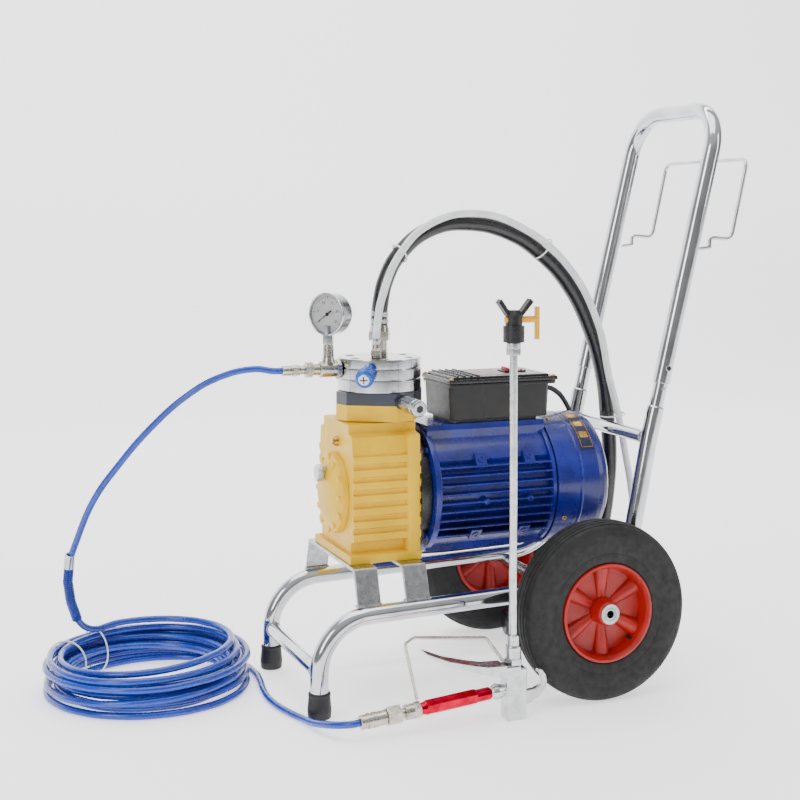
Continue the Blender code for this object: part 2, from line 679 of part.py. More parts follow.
def pump_housing():
    front, rear = HOUSING_X
    body = prism("pump_housing", [housing_section()], rear - front, YELLOW,
                 ((front + rear) / 2, 0, 0), ALONG_X)
    base = box("housing_base", (front - 0.006, -0.0810, 0.1958), (front + 0.01, 0.0810, 0.2074),
               None, 0, True)
    plate = box("housing_rear_plate", (rear - 0.021, -0.0808, 0.2000), (rear, 0.0808, 0.3760), None,
                0.006, True)
    flange = prism("housing_top_flange", [chamfered_square(0.0565, 0.020, -HEAD_TURN)],
                   FLANGE_Z[1] - FLANGE_Z[0], None, (HEAD_X, 0, sum(FLANGE_Z) / 2), (0, 0, 0), True)
    neck = cylinder("housing_neck", 0.0500, 0.3850, 0.3950, None, (HEAD_X - 0.004, 0, 0), (0, 0, 0), 24, True)
    join(body, base, plate, flange, neck)
    cavity = cylinder("crank_cavity", 0.0480, -0.20, -0.033, None, (0, 0, SHAFT_Z), TURN_X, 24, True)
    shaft_bore = cylinder("shaft_bore", 0.0150, -0.10, 0.0, None, (0, 0, SHAFT_Z), TURN_X, 20, True)
    piston_bore = cylinder("piston_bore", PISTON_R + 0.0006, 0.29, 0.45, None, (HEAD_X, 0, 0),
                           (0, 0, 0), 20, True)
    return cut(body, cavity, shaft_bore, piston_bore)


def housing_cover():
    profile = [(0.0, 0.0200), (0.0300, 0.0185), (0.0480, 0.0125), (0.0570, 0.0085), (0.0590, 0.0003),
               (0.0, 0.0003)]
    cover = turned("housing_cover", profile, YELLOW, (HOUSING_X[0], 0, SHAFT_Z), TURN_BACK_X, 36)
    port = cylinder("oil_plug_port", 0.0083, -0.01, 0.06, None, (HOUSING_X[0], 0, 0.3135), TURN_BACK_X,
                    16, True)
    return cut(cover, port)


def oil_plug():
    """Hexagon-headed plug with a sight glass, screwed into the cover."""
    place = (HOUSING_X[0], 0, 0.3135)
    plug = turned("oil_plug", rod_profile((0.0225, 0.0080), (0.0060, 0.0080)), STEEL, place,
                  TURN_BACK_X, 16)
    head = prism("oil_plug_head", [hexagon(0.022)], 0.0080, None,
                 (HOUSING_X[0] - 0.0258, 0, 0.3135), TURN_BACK_X, True)
    return join(plug, head)


def head_collar():
    """Navy ring between housing flange and head, bored for the diaphragm."""
    collar = prism("head_collar", [chamfered_square(0.0565, 0.020, -HEAD_TURN),
                                   arc((0, 0), 0.0420, 0, 360 - 15, 23)],
                   COLLAR_Z[1] - COLLAR_Z[0], NAVY, (HEAD_X, 0, sum(COLLAR_Z) / 2))
    return collar


def pump_head():
    """Three stacked steel discs: inlet and outlet plates, drawn as one with grooves between."""
    low, high = HEAD_Z
    profile = [(0.0, high), (HEAD_R - 0.0015, high), (HEAD_R, high - 0.0015)]
    for groove in (0.4645, 0.4485):
        profile += [(HEAD_R, groove + 0.0008), (HEAD_R - 0.0015, groove), (HEAD_R, groove - 0.0008)]
    profile += [(HEAD_R, low), (0.0425, low), (0.0425, low + 0.0075), (0.0, low + 0.0075)]
    return turned("pump_head", profile, CHROME, (HEAD_X, 0, 0), (0, 0, 0), 40)


def diaphragm():
    return turned("diaphragm", rod_profile((0.4290, 0.0375), (0.4270, 0.0405), (0.4262, 0.0405)), RUBBER,
                  (HEAD_X, 0, 0), (0, 0, 0), 24)


def piston():
    return cylinder("piston", PISTON_R, 0.3098, 0.4259, STEEL, (HEAD_X, 0, 0), (0, 0, 0), 20)


def radial_from_head(direction, reach, z):
    flat = Vector((direction[0], direction[1], 0)).normalized()
    return (HEAD_X + flat.x * reach, flat.y * reach, z)


def pressure_knob():
    facing = Vector((0.15, -0.983, -0.100)).normalized()
    start = radial_from_head(facing, 0.0690, 0.4185)
    return turned("pressure_knob", rod_profile((0.0480, 0.0100), (0.0465, 0.0116), (0.0380, 0.0116),
                                               (0.0365, 0.0100), (0.0, 0.0090)),
                  STEEL, start, aim(facing), 20)


def prime_knob():
    facing = Vector((-0.515, -0.80, -0.31)).normalized()
    start = radial_from_head(facing, 0.0640, 0.4655)
    return turned("prime_knob", rod_profile((0.0370, 0.0110), (0.0355, 0.0126), (0.0180, 0.0126),
                                            (0.0165, 0.0085), (0.0, 0.0085)),
                  BLUE, start, aim(facing), 20)


def outlet_tee():
    """Steel outlet: nut on the head, tee with the gauge branch, hose nipple and its sleeve."""
    low = -(HEAD_X - HEAD_R) + GAP
    stations = rod_profile((0.2000, 0.0074), (0.1780, 0.0074), (0.1760, 0.0050), (0.1740, 0.0060),
                           (0.1660, 0.0060), (0.1660, 0.0095), (0.1570, 0.0095), (0.1570, 0.0080),
                           (0.1260, 0.0080), (0.1260, 0.0130), (low, 0.0130))
    body = turned("outlet_tee", stations, STEEL, (0, 0, OUTLET_Z), TURN_BACK_X, 16)
    branch = turned("tee_branch", rod_profile((0.4970, 0.0085), (OUTLET_Z, 0.0078)), None,
                    (GAUGE_CENTRE[0], 0, 0), (0, 0, 0), 16, False, True)
    return join(body, branch)


def gauge_case():
    """Steel gauge case, open in front for the dial, with its brass stem below."""
    behind = 0.0210
    profile = [(0.0, 0.0), (GAUGE_R - 0.0028, 0.0), (GAUGE_R - 0.0028, 0.0060), (GAUGE_R, 0.0060),
               (GAUGE_R, -behind), (0.0, -behind)]
    case = turned("gauge_case", profile, STEEL, GAUGE_CENTRE, aim(GAUGE_FACING), 36)
    stem = turned("gauge_stem", rod_profile((0.5250, 0.0060), (0.5120, 0.0060), (0.5120, 0.0075),
                                            (0.4973, 0.0075)), None,
                  (GAUGE_CENTRE[0], 0, 0), (0, 0, 0), 6, False, True)
    return join(case, stem)


def gauge_needle():
    """Tapered pointer in the dial's plane, resting at the low end of the scale."""
    outline = [(-0.0010, 0.0), (-0.0014, -0.0080), (0.0014, -0.0080), (0.0010, 0.0), (0.0003, 0.0215),
               (-0.0003, 0.0215)]
    facing = Vector(GAUGE_FACING).normalized()
    place = Vector(GAUGE_CENTRE) + facing * 0.0030
    needle = prism("gauge_needle", [outline], 0.0008, BLACK, place, (0, 0, 0))
    upright = Matrix((Vector((0, 0, 1)).cross(facing), Vector((0, 0, 1)), facing)).transposed().to_4x4()
    turn = upright @ Matrix.Rotation(math.radians(125), 4, "Z")
    needle.matrix_world = Matrix.Translation(Vector(CART_SHIFT) + place) @ turn
    return needle


def suction_fitting():
    low = HEAD_Z[1] + GAP
    return turned("suction_fitting", rod_profile(
        (0.5240, 0.0155), (0.5020, 0.0155), (0.5000, 0.0115), (0.4930, 0.0115), (0.4915, 0.0140),
        (0.4880, 0.0140), (0.4870, 0.0115), (low, 0.0115)), STEEL, (HEAD_X, 0, 0), (0, 0, 0), 18)


def return_fitting():
    low = HEAD_Z[1] + GAP
    x, y, z = RETURN_ROUTE[0]
    return turned("return_fitting", rod_profile((z - GAP, 0.0078), (0.4850, 0.0078), (0.4830, 0.0066),
                                                (low, 0.0066)), BRASS, (x, y, 0), (0, 0, 0), 14)


# ---------------------------------------------------------------- hoses and cable
def hose_tube(name, route, radius, spacing, material):
    return tube(name, smooth_route(route, spacing), radius, material, 2)


def coil_ring(name, centre, radii, height, material):
    low = GAP
    return turned(name, ring_profile(radii[0], radii[1], low, height), material,
                  (centre[0], centre[1], 0), (0, 0, 0), 36, True)


def turned_between(name, ends, stations, material, steps=16):
    """A turned piece along a line: stations are (share of the length, radius)."""
    length, rotation = between(*ends)
    profile = rod_profile(*[(share * length, radius) for share, radius in reversed(stations)])
    return turned(name, profile, material, ends[0], rotation, steps)


# ---------------------------------------------------------------- spray gun
def along_grip(distance):
    return tuple(Vector(GRIP_START) + Vector(GRIP_AXIS).normalized() * distance)


def gun_body():
    """Forged gun head: block, ball joint to the grip, and the hook over the front."""
    y = GUN_Y
    body = box("gun_body", (0.0457, y - 0.0115, 0.0), (0.0752, y + 0.0115, 0.0715), CHROME, 0.002)
    ball = turned("gun_ball", rod_profile((0.0216, 0.0060), (0.0180, 0.0092), (0.0110, 0.0108),
                                          (0.0040, 0.0090), (-0.0030, 0.0070)), None,
                  GRIP_START, aim(GRIP_AXIS), 16, False, True)
    outer = [(0.0745, 0.0170), (0.0860, 0.0200), (0.1000, 0.0290), (0.1070, 0.0380), (0.1090, 0.0470),
             (0.1070, 0.0560), (0.1020, 0.0630), (0.0970, 0.0650)]
    inner = [(0.0945, 0.0615), (0.0995, 0.0570), (0.1010, 0.0490), (0.0980, 0.0420), (0.0900, 0.0380),
             (0.0745, 0.0370)]
    hook = prism("gun_hook", [outer + inner], 0.0080, None, (0, y, 0), ALONG_Y, True)
    return join(body, ball, hook)


def grip():
    rotation = aim(GRIP_AXIS)
    return turned("grip", rod_profile((0.1230, 0.0085), (0.1190, 0.0102), (0.0430, 0.0102),
                                      (0.0410, 0.0095), (0.0220, 0.0095)), RED_ANODISED,
                  GRIP_START, rotation, 12)


def trigger():
    """Trigger lever with two cheeks that straddle the gun head, origin on its pivot."""
    y = GUN_Y
    pivot = (0.0590, y, 0.0660)
    lever = [(0.0435, 0.0600), (0.0435, 0.0775), (0.0150, 0.0790), (-0.0060, 0.0838), (-0.0400, 0.0930),
             (-0.0712, 0.1065), (-0.0705, 0.1030), (-0.0400, 0.0860), (-0.0060, 0.0745), (0.0200, 0.0670)]
    outline = [(x - pivot[0], z - pivot[2]) for x, z in lever]
    body = prism("trigger", [outline], 0.0290, CHROME, pivot, ALONG_Y)
    for side, sign in SIDES.items():
        cheek = box("trigger_cheek_" + side, (0.0380, y + sign * 0.0133 - 0.0012, 0.0615),
                    (0.0640, y + sign * 0.0133 + 0.0012, 0.0745), None, 0, True)
        join(body, cheek)
    return body


def trigger_guard():
    y = GUN_Y
    corners = [(0.0450, 0.0800), (0.0182, 0.1154), (-0.0860, 0.1271), (-0.0985, 0.1200), (-0.0812, 0.0440)]
    route = rounded_route([(x, y, z) for x, z in corners], (0.008, 0.008, 0.006), 4)
    return tube("trigger_guard", route, 0.0022, STEEL, 2)


def lance():
    return turned("lance", rod_profile(
        (0.5127, 0.0100), (0.4960, 0.0100), (0.4940, LANCE_R), (0.1170, LANCE_R), (0.1157, 0.0090),
        (0.1020, 0.0090), (0.1015, 0.0112), (0.0720, 0.0112)), CHROME,
                  (LANCE_X, GUN_Y, 0), (0, 0, 0), 14)


def tip_guard():
    """Nut and V-shaped guard that turn on the end of the lance."""
    place = (LANCE_X, GUN_Y, 0)
    body = turned("tip_guard", rod_profile((0.5560, 0.0080), (0.5500, 0.0115), (0.5350, 0.0115),
                                           (0.5350, 0.0145), (0.5130, 0.0145)), BLACK, place,
                  (0, 0, 0), 16)
    for side, lean, reach in (("left", -1, 0.0245), ("right", 1, 0.0270)):
        outline = [(lean * 0.0040, 0.5480), (lean * 0.0110, 0.5480), (lean * reach, 0.5665),
                   (lean * (reach - 0.0040), 0.5710)]
        wing = prism("guard_wing_" + side, [outline], 0.0120, None, place, ALONG_Y, True)
        join(body, wing)
    bore = cylinder("tip_bore", 0.0048, -0.03, 0.03, None, (LANCE_X, GUN_Y, 0.5430), TURN_X, 16, True)
    return cut(body, bore)


def spray_tip():
    """Reversible tip: a barrel across the guard, with a flat yellow handle on its end."""
    body = turned("spray_tip", rod_profile((0.0340, 0.0045), (-0.0125, 0.0045)), SWITCH_YELLOW,
                  (LANCE_X, GUN_Y, 0.5430), TURN_X, 16)
    grip_plate = box("tip_handle", (LANCE_X + 0.0320, GUN_Y - 0.0035, 0.5155),
                     (LANCE_X + 0.0375, GUN_Y + 0.0035, 0.5600), None, 0.001, True)
    return join(body, grip_plate)


def build():
    for side in SIDES:
        side_tube(side)
        rubber_foot(side)
        tyre(side)
        rim(side)
        snap_button(side)
    cross_tube("front_cross_tube", LEG_X, 0.0620, 0.0100)
    cross_tube("rear_cross_tube", 0.3294, 0.3530, 0.0100)
    for name, (x_low, x_high) in STRAPS.items():
        pump_strap(name, x_low, x_high)
    axle()
    handle()
    hose_rack()

    motor_body()
    stator()
    rotor_shaft()
    bearing("shaft_bearing_front", -0.0165, -0.0030)
    bearing("shaft_bearing_rear", 0.1785, 0.1892)
    cooling_fan()
    fan_cover()
    motor_adapter()
    control_box()
    box_lid()
    rocker_switch()
    cable_gland()

    pump_housing()
    housing_cover()
    oil_plug()
    head_collar()
    pump_head()
    diaphragm()
    piston()
    pressure_knob()
    prime_knob()
    outlet_tee()
    gauge_case()
    gauge_needle()
    suction_fitting()
    return_fitting()

    gun_body()
    grip()
    trigger()
    trigger_guard()
    lance()
    tip_guard()
    spray_tip()

    hose_tube("paint_hose_drop", HOSE_DROP_ROUTE, PAINT_HOSE_R, 0.034, HOSE_BLUE)
    hose_tube("paint_hose_run", HOSE_RUN_ROUTE, PAINT_HOSE_R, 0.032, HOSE_BLUE)
    coil_ring("paint_hose_coil", HOSE_COIL_CENTRE, HOSE_COIL_R, HOSE_COIL_H, HOSE_BLUE)
    turned_between("paint_hose_fitting", (along_grip(0.1233), along_grip(0.2075)),
                   [(0.0, 0.0108), (0.26, 0.0108), (0.27, 0.0060), (0.32, 0.0060), (0.33, 0.0123),
                    (0.56, 0.0123), (0.57, 0.0100), (1.0, 0.0095)], STEEL)
    hose_tube("suction_hose", SUCTION_ROUTE, SUCTION_HOSE_R, 0.066, RUBBER)
    turned_between("suction_strainer", STRAINER,
                   [(0.005, 0.014), (0.12, 0.014), (0.15, 0.0225), (0.9, 0.0225), (1.0, 0.0180)], BLACK)
    hose_tube("return_tube", RETURN_ROUTE, RETURN_TUBE_R, 0.046, WHITE)
    hose_tube("mains_cable", MAINS_ROUTE, MAINS_CABLE_R, 0.030, BLACK)
    coil_ring("mains_coil", MAINS_COIL_CENTRE, MAINS_COIL_R, MAINS_COIL_H, BLACK)
    turned_between("mains_plug", PLUG, [(0.0, 0.0055), (0.35, 0.0120), (0.4, 0.0185), (1.0, 0.0195)], BLACK)


build()
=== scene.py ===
# %% [markdown]
# # An airless paint sprayer on its two-wheeled cart
#
# The machine is a yellow diaphragm pump bolted to a blue electric motor, on a cart of chromed tube.
# A black hose sucks paint up, a white tube carries the surplus back, and a long blue hose feeds the
# spray gun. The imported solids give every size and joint. This script gives them their looks: it
# keeps a solid where its shape is already right, softens the edges of the cast and pressed pieces,
# and builds new pieces where the real one has more to show.

# %% Load the frame
import json
import math

import bmesh
import bpy
from mathutils import Matrix, Vector

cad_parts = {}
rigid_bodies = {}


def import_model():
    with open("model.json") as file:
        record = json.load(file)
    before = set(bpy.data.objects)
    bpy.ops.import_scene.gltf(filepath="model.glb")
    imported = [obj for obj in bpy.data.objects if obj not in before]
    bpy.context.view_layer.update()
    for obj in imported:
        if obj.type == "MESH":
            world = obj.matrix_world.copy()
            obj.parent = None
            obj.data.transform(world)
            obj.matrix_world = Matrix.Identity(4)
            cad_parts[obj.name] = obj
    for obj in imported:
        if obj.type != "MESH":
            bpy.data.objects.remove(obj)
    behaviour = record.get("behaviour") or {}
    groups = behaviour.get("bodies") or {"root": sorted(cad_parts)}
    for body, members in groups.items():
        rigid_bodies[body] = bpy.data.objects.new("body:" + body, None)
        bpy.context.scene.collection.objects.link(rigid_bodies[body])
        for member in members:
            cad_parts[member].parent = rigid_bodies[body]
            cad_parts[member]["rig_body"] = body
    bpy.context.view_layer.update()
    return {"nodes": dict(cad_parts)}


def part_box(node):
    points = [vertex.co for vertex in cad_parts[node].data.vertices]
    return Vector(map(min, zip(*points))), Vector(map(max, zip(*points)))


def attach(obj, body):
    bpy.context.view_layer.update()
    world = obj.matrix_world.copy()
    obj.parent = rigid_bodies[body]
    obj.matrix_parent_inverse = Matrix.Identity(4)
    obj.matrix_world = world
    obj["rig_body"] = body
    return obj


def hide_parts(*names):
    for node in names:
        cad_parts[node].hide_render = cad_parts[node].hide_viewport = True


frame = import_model()
nodes = frame["nodes"]


# %% [markdown]
# ## Where things are
#
# Every length is in metres. The cart's own frame has its zero on the floor under the motor shaft,
# with +X towards the handle and -Y towards the gun. The axle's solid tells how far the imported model
# moved that zero, so a place is written once, in the cart's frame, and `at` turns it into the
# model's.

# %% Places in the cart's frame
AXLE_X, WHEEL_R, WHEEL_Y = 0.209, 0.127, 0.188
SHAFT_Z = 0.284
HEAD_X = -0.053
HEAD_TOP_Z = 0.478
OUTLET_Z = 0.4625
GUN_Y = -0.2188
LANCE_X = 0.059
FRAME_Y = 0.1185
TUBE_R = 0.0127
LEG_X = -0.184
LEAN = 0.245
X_AXIS, Y_AXIS, Z_AXIS = Vector((1, 0, 0)), Vector((0, 1, 0)), Vector((0, 0, 1))

axle_low, axle_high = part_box("axle")
CART = (axle_low + axle_high) / 2 - Vector((AXLE_X, 0, WHEEL_R))


def at(x, y, z):
    return CART + Vector((x, y, z))


print("cart zero sits at", tuple(round(c, 4) for c in CART))


# %% [markdown]
# ## The camera
#
# The sprayer is seen from the side of the gun, a little from the front and from just above the
# gauge, with a short telephoto lens that keeps the two wheels nearly the same size.

# %% Camera
camera = bpy.data.objects.new("camera", bpy.data.cameras.new("camera"))
bpy.context.scene.collection.objects.link(camera)
bpy.context.scene.camera = camera
TURN, TILT = math.radians(22.19), math.radians(2.41)
looking = Vector((math.sin(TURN) * math.cos(TILT), math.cos(TURN) * math.cos(TILT), -math.sin(TILT)))
camera.location = at(-0.7738, -1.9625, 0.6816)
camera.rotation_euler = looking.to_track_quat("-Z", "Y").to_euler()
camera.data.lens = 64.76
camera.data.shift_x, camera.data.shift_y = -0.0375, -0.1538
print("camera at", tuple(round(c, 3) for c in camera.location))


# %% [markdown]
# ## Small tools: colour, nodes and materials
#
# Colours are picked as sRGB hex, the way a paint chart gives them, and a shader wants them linear.
# One function adds a node to any tree, with its settings and its incoming links, so that a material
# or a Geometry Nodes tree reads as a list of steps. Patterns are sized in millimetres: a noise of
# scale 1000 / s on Object coordinates has features about s millimetres wide.

# %% Colour and node helpers
def linear(hex_colour, alpha=1.0):
    channels = [int(hex_colour[i:i + 2], 16) / 255 for i in (1, 3, 5)]
    return (*[c / 12.92 if c <= 0.04045 else ((c + 0.055) / 1.055) ** 2.4 for c in channels], alpha)


def add(tree, kind, links=None, **settings):
    """Adds a node. links maps an input's name or number to a value or to another node's output."""
    made = tree.nodes.new(kind)
    for name, value in settings.items():
        setattr(made, name, value)
    for key, value in (links or {}).items():
        if isinstance(value, bpy.types.NodeSocket):
            tree.links.new(value, made.inputs[key])
        else:
            made.inputs[key].default_value = value
    return made


def blank_material(name, **sockets):
    """A material with one Principled shader and its fixed values."""
    material = bpy.data.materials.new(name)
    material.use_nodes = True
    shader = material.node_tree.nodes["Principled BSDF"]
    for key, value in sockets.items():
        shader.inputs[key.replace("_", " ")].default_value = value
    return material, material.node_tree, shader


def object_noise(tree, size_mm, detail=3.0, stretch=(1, 1, 1)):
    """Noise whose features are about size_mm wide, longer along an axis with a stretch under 1."""
    place = add(tree, "ShaderNodeTexCoord").outputs["Object"]
    moved = add(tree, "ShaderNodeMapping", {"Vector": place, "Scale": stretch}).outputs["Vector"]
    links = {"Vector": moved, "Scale": 1000 / size_mm, "Detail": detail}
    return add(tree, "ShaderNodeTexNoise", links).outputs["Fac"]


def spread(tree, source, low, high):
    """Maps the middle of a noise, 0.3 to 0.7, onto low to high."""
    links = {"Value": source, "From Min": 0.3, "From Max": 0.7, "To Min": low, "To Max": high}
    return add(tree, "ShaderNodeMapRange", links).outputs["Result"]


def two_tone(tree, source, dark, light):
    links = {0: source, "A": linear(dark), "B": linear(light)}
    return add(tree, "ShaderNodeMix", links, data_type="RGBA").outputs["Result"]


def relief(tree, shader, height, depth_mm, strength=1.0):
    links = {"Height": height, "Distance": depth_mm / 1000, "Strength": strength}
    bump = add(tree, "ShaderNodeBump", links)
    tree.links.new(bump.outputs["Normal"], shader.inputs["Normal"])


def finish_of(name, dark, light, rough, metallic=0.0, tone_mm=40, grain_mm=1.0, depth_mm=0.02,
              stretch=(1, 1, 1), **sockets):
    """Most finishes here: two close colours in soft patches, uneven gloss and a fine relief."""
    material, tree, shader = blank_material(name, Metallic=metallic, **sockets)
    tree.links.new(two_tone(tree, spread(tree, object_noise(tree, tone_mm), 0, 1), dark, light),
                   shader.inputs["Base Color"])
    gloss = object_noise(tree, tone_mm / 3, 4.0, stretch)
    tree.links.new(spread(tree, gloss, rough[0], rough[1]), shader.inputs["Roughness"])
    relief(tree, shader, object_noise(tree, grain_mm, 2.0, stretch), depth_mm)
    return material


# %% [markdown]
# ## Metals
#
# The frame is steel tube, polished and then plated with nickel and chromium: a mirror with a faint
# waviness from the polishing. The pump's head and fittings are turned from steel bar, and keep a
# satin of fine tool marks. The straps and springs are zinc-plated, greyer and duller. The fittings'
# nuts are brass with a thin nickel wash.

# %% Metal materials
chrome_tube = finish_of("chromed_steel_tube", "#B9BCC0", "#D8DADD", (0.06, 0.16), 1.0, 60, 14, 0.03)
polished_steel = finish_of("turned_steel_head", "#A9ABAE", "#CDCFD2", (0.10, 0.22), 1.0, 25, 3, 0.02,
                           (0.15, 0.15, 6))
machined_steel = finish_of("machined_steel", "#A3A5A8", "#C6C8CA", (0.18, 0.34), 1.0, 12, 1.2, 0.02)
zinc_steel = finish_of("zinc_plated_steel", "#9B9DA0", "#BDBFC1", (0.24, 0.40), 1.0, 10, 2.0, 0.03)
nickel_brass = finish_of("nickel_plated_brass", "#A7A196", "#C9C4BA", (0.18, 0.32), 1.0, 8, 1.5, 0.02)
brass = finish_of("turned_brass", "#A67B32", "#D0A65A", (0.18, 0.34), 1.0, 8, 1.2, 0.02)
cast_chrome = finish_of("chromed_forging", "#B6B8BB", "#D9DBDD", (0.14, 0.28), 1.0, 14, 5, 0.08)
red_anodised = finish_of("red_anodised_aluminium", "#A80024", "#D2083A", (0.16, 0.28), 1.0, 15, 1.5,
                         0.02, (0.2, 1, 1))
copper_winding = finish_of("varnished_copper_winding", "#7A3B1C", "#A8582C", (0.25, 0.45), 1.0, 6, 0.8,
                           0.15, (0.1, 1, 1))

# %% [markdown]
# ## Paints
#
# The gear housing is cast aluminium under thick yellow powder coat, so its relief is coarse and its
# gloss breaks up softly. The motor's frame and fan cover have a thinner, glossier royal-blue enamel.
# The enamel is drawn as a coloured base under a clear coat; the powder coat has none.

# %% Paint materials
yellow_coat = finish_of("yellow_powder_coat", "#DCAE00", "#F0C000", (0.34, 0.48), 0.0, 45, 2.2, 0.10,
                        Specular_IOR_Level=0.30)
blue_enamel = finish_of("royal_blue_enamel", "#020E5A", "#041A8A", (0.22, 0.36), 0.0, 50, 2.6, 0.10,
                        Coat_Weight=0.25, Coat_Roughness=0.08)
navy_enamel = finish_of("navy_enamel", "#0B1322", "#16233B", (0.28, 0.42), 0.0, 30, 2.0, 0.08,
                        Coat_Weight=0.4, Coat_Roughness=0.15)
knob_blue = finish_of("blue_anodised_ring", "#12459F", "#2061C9", (0.22, 0.34), 0.6, 8, 1.0, 0.03)

# %% [markdown]
# ## Rubbers and plastics
#
# Tyres and feet are carbon-black rubber, matt and dusty in patches. The rims are a tomato-red
# moulded polypropylene, the box a finely spark-eroded black ABS, the hoses smooth extruded
# thermoplastics, and the needle guard on the gun black acetal with a yellow key through it.

# %% Rubber and plastic materials
tyre_rubber = finish_of("tyre_rubber", "#0C0C0D", "#1A1A1B", (0.60, 0.82), 0.0, 30, 1.2, 0.10)
foot_rubber = finish_of("moulded_rubber", "#121213", "#222224", (0.45, 0.65), 0.0, 15, 1.0, 0.06)
rim_plastic = finish_of("red_polypropylene", "#8E0E08", "#AC170E", (0.34, 0.50), 0.0, 30, 1.6, 0.06,
                        Subsurface_Weight=0.05)
box_plastic = finish_of("textured_black_abs", "#0D0C0F", "#18171A", (0.36, 0.50), 0.0, 25, 0.9, 0.06)
lid_plastic = finish_of("smooth_black_abs", "#151417", "#1F1E22", (0.22, 0.34), 0.0, 25, 1.6, 0.03)
lid_label = finish_of("printed_red_label", "#6E2A33", "#8A3843", (0.30, 0.42), 0.0, 20, 2.0, 0.01)
motor_label = finish_of("printed_dark_label", "#0A1330", "#101C44", (0.25, 0.40), 0.0, 20, 2.0, 0.01)
hose_blue = finish_of("blue_polyurethane_hose", "#042C94", "#0A40B4", (0.20, 0.32), 0.0, 60, 3.0, 0.04,
                      Coat_Weight=0.3, Coat_Roughness=0.12)
hose_black = finish_of("black_pvc_hose", "#0E0E10", "#1B1B1E", (0.24, 0.36), 0.0, 40, 4.0, 0.08,
                       Coat_Weight=0.25, Coat_Roughness=0.20)
tube_white = finish_of("milky_polyethylene_tube", "#DADDDF", "#F1F3F4", (0.20, 0.32), 0.0, 30, 4.0, 0.04,
                       Subsurface_Weight=0.2, Subsurface_Scale=0.003)
tie_white = finish_of("natural_nylon_tie", "#DADDDE", "#F0F1F1", (0.35, 0.45), 0.0, 8, 1.0, 0.02)
cable_black = finish_of("black_rubber_cable", "#131314", "#202022", (0.42, 0.58), 0.0, 20, 1.2, 0.05)
acetal_black = finish_of("black_acetal", "#111113", "#1E1E21", (0.24, 0.36), 0.0, 12, 1.2, 0.03)
key_yellow = finish_of("yellow_acetal_key", "#E0A000", "#F0AE00", (0.28, 0.40), 0.0, 12, 1.2, 0.03)
switch_red = finish_of("red_switch_plastic", "#A81F24", "#C92D33", (0.20, 0.30), 0.0, 12, 1.5, 0.02)
dial_white = finish_of("white_enamelled_dial", "#E9E9E7", "#F4F4F2", (0.35, 0.45), 0.0, 15, 2.0, 0.01)
# One black serves two ways: the gauge's print and needle, and painted shade in the handle's holes, the fan
# cover's slots, the head's bolt wells and the pressure knob's socket.
ink_and_shade_black = finish_of("black_ink_and_painted_shade", "#101012", "#1A1A1C", (0.40, 0.50), 0.0, 6, 1.0, 0.01)

# %% [markdown]
# The gauge's window is clear polycarbonate. It is drawn as thin glass: full transmission, almost no
# roughness, and the real index of refraction.

# %% Window material
window_clear, window_tree, window_shader = blank_material(
    "clear_polycarbonate_window", IOR=1.58, Transmission_Weight=1.0, Metallic=0.0)
haze = object_noise(window_tree, 10)
window_tree.links.new(spread(window_tree, haze, 0.0, 0.02), window_shader.inputs["Roughness"])
window_shader.inputs["Base Color"].default_value = linear("#FBFCFC")


# %% [markdown]
# ## Hoses and cable
#
# Four flexible runs leave the machine. Each is one smooth Bezier curve through a given route,
# at its real length, with the real diameter as its bevel:
#
# - the blue high-pressure hose, 10 mm, falls from the outlet into a loose floor coil of about
#   eleven turns and runs on to the gun, ten metres in all;
# - the black suction hose, 24 mm and stiff, arches over to its strainer on the floor;
# - the white return tube, 11 mm, follows the same arch;
# - the black mains cable, 8 mm, drops behind the wheel into a small storage coil, three metres.

# %% Cord helpers
def smooth_curve(name, route, radius, material, resolution=6, sides=4):
    """A round cord on one Bezier spline through the route's points."""
    curve = bpy.data.curves.new(name, "CURVE")
    curve.dimensions = "3D"
    curve.bevel_depth = radius
    curve.bevel_resolution = sides
    curve.resolution_u = resolution
    curve.use_fill_caps = True
    spline = curve.splines.new("BEZIER")
    spline.bezier_points.add(len(route) - 1)
    for point, place in zip(spline.bezier_points, route):
        point.co = place
        point.handle_left_type = point.handle_right_type = "AUTO"
    curve.materials.append(material)
    obj = bpy.data.objects.new(name, curve)
    bpy.context.scene.collection.objects.link(obj)
    return obj


def curve_length(obj):
    spline = obj.data.splines[0]
    return spline.calc_length()


def coil_route(centre, start_deg, end_deg, stations, points_per_turn, wobble=0.0):
    """Points of a coil that winds clockwise, from one (radius, height) station to the next per turn."""
    turns = (start_deg - end_deg) / 360
    count = round(turns * points_per_turn)
    route = []
    for i in range(count + 1):
        turn = turns * i / count
        share = turn / turns * (len(stations) - 1)
        index = min(int(share), len(stations) - 2)
        ease = max(0.0, min(1.0, (share - index - 0.45) / 0.55))
        ease = ease * ease * (3 - 2 * ease)
        radius = stations[index][0] * (1 - ease) + stations[index + 1][0] * ease
        height = stations[index][1] * (1 - ease) + stations[index + 1][1] * ease
        angle = math.radians(start_deg - 360 * turn)
        radius += wobble * math.sin(2 * angle + 0.7 * index)
        height += 0.4 * wobble * (1 + math.sin(angle + 1.9 * index)) * (index % 3 > 0)
        route.append(at(centre[0] + radius * math.cos(angle), centre[1] + radius * math.sin(angle), height))
    return route


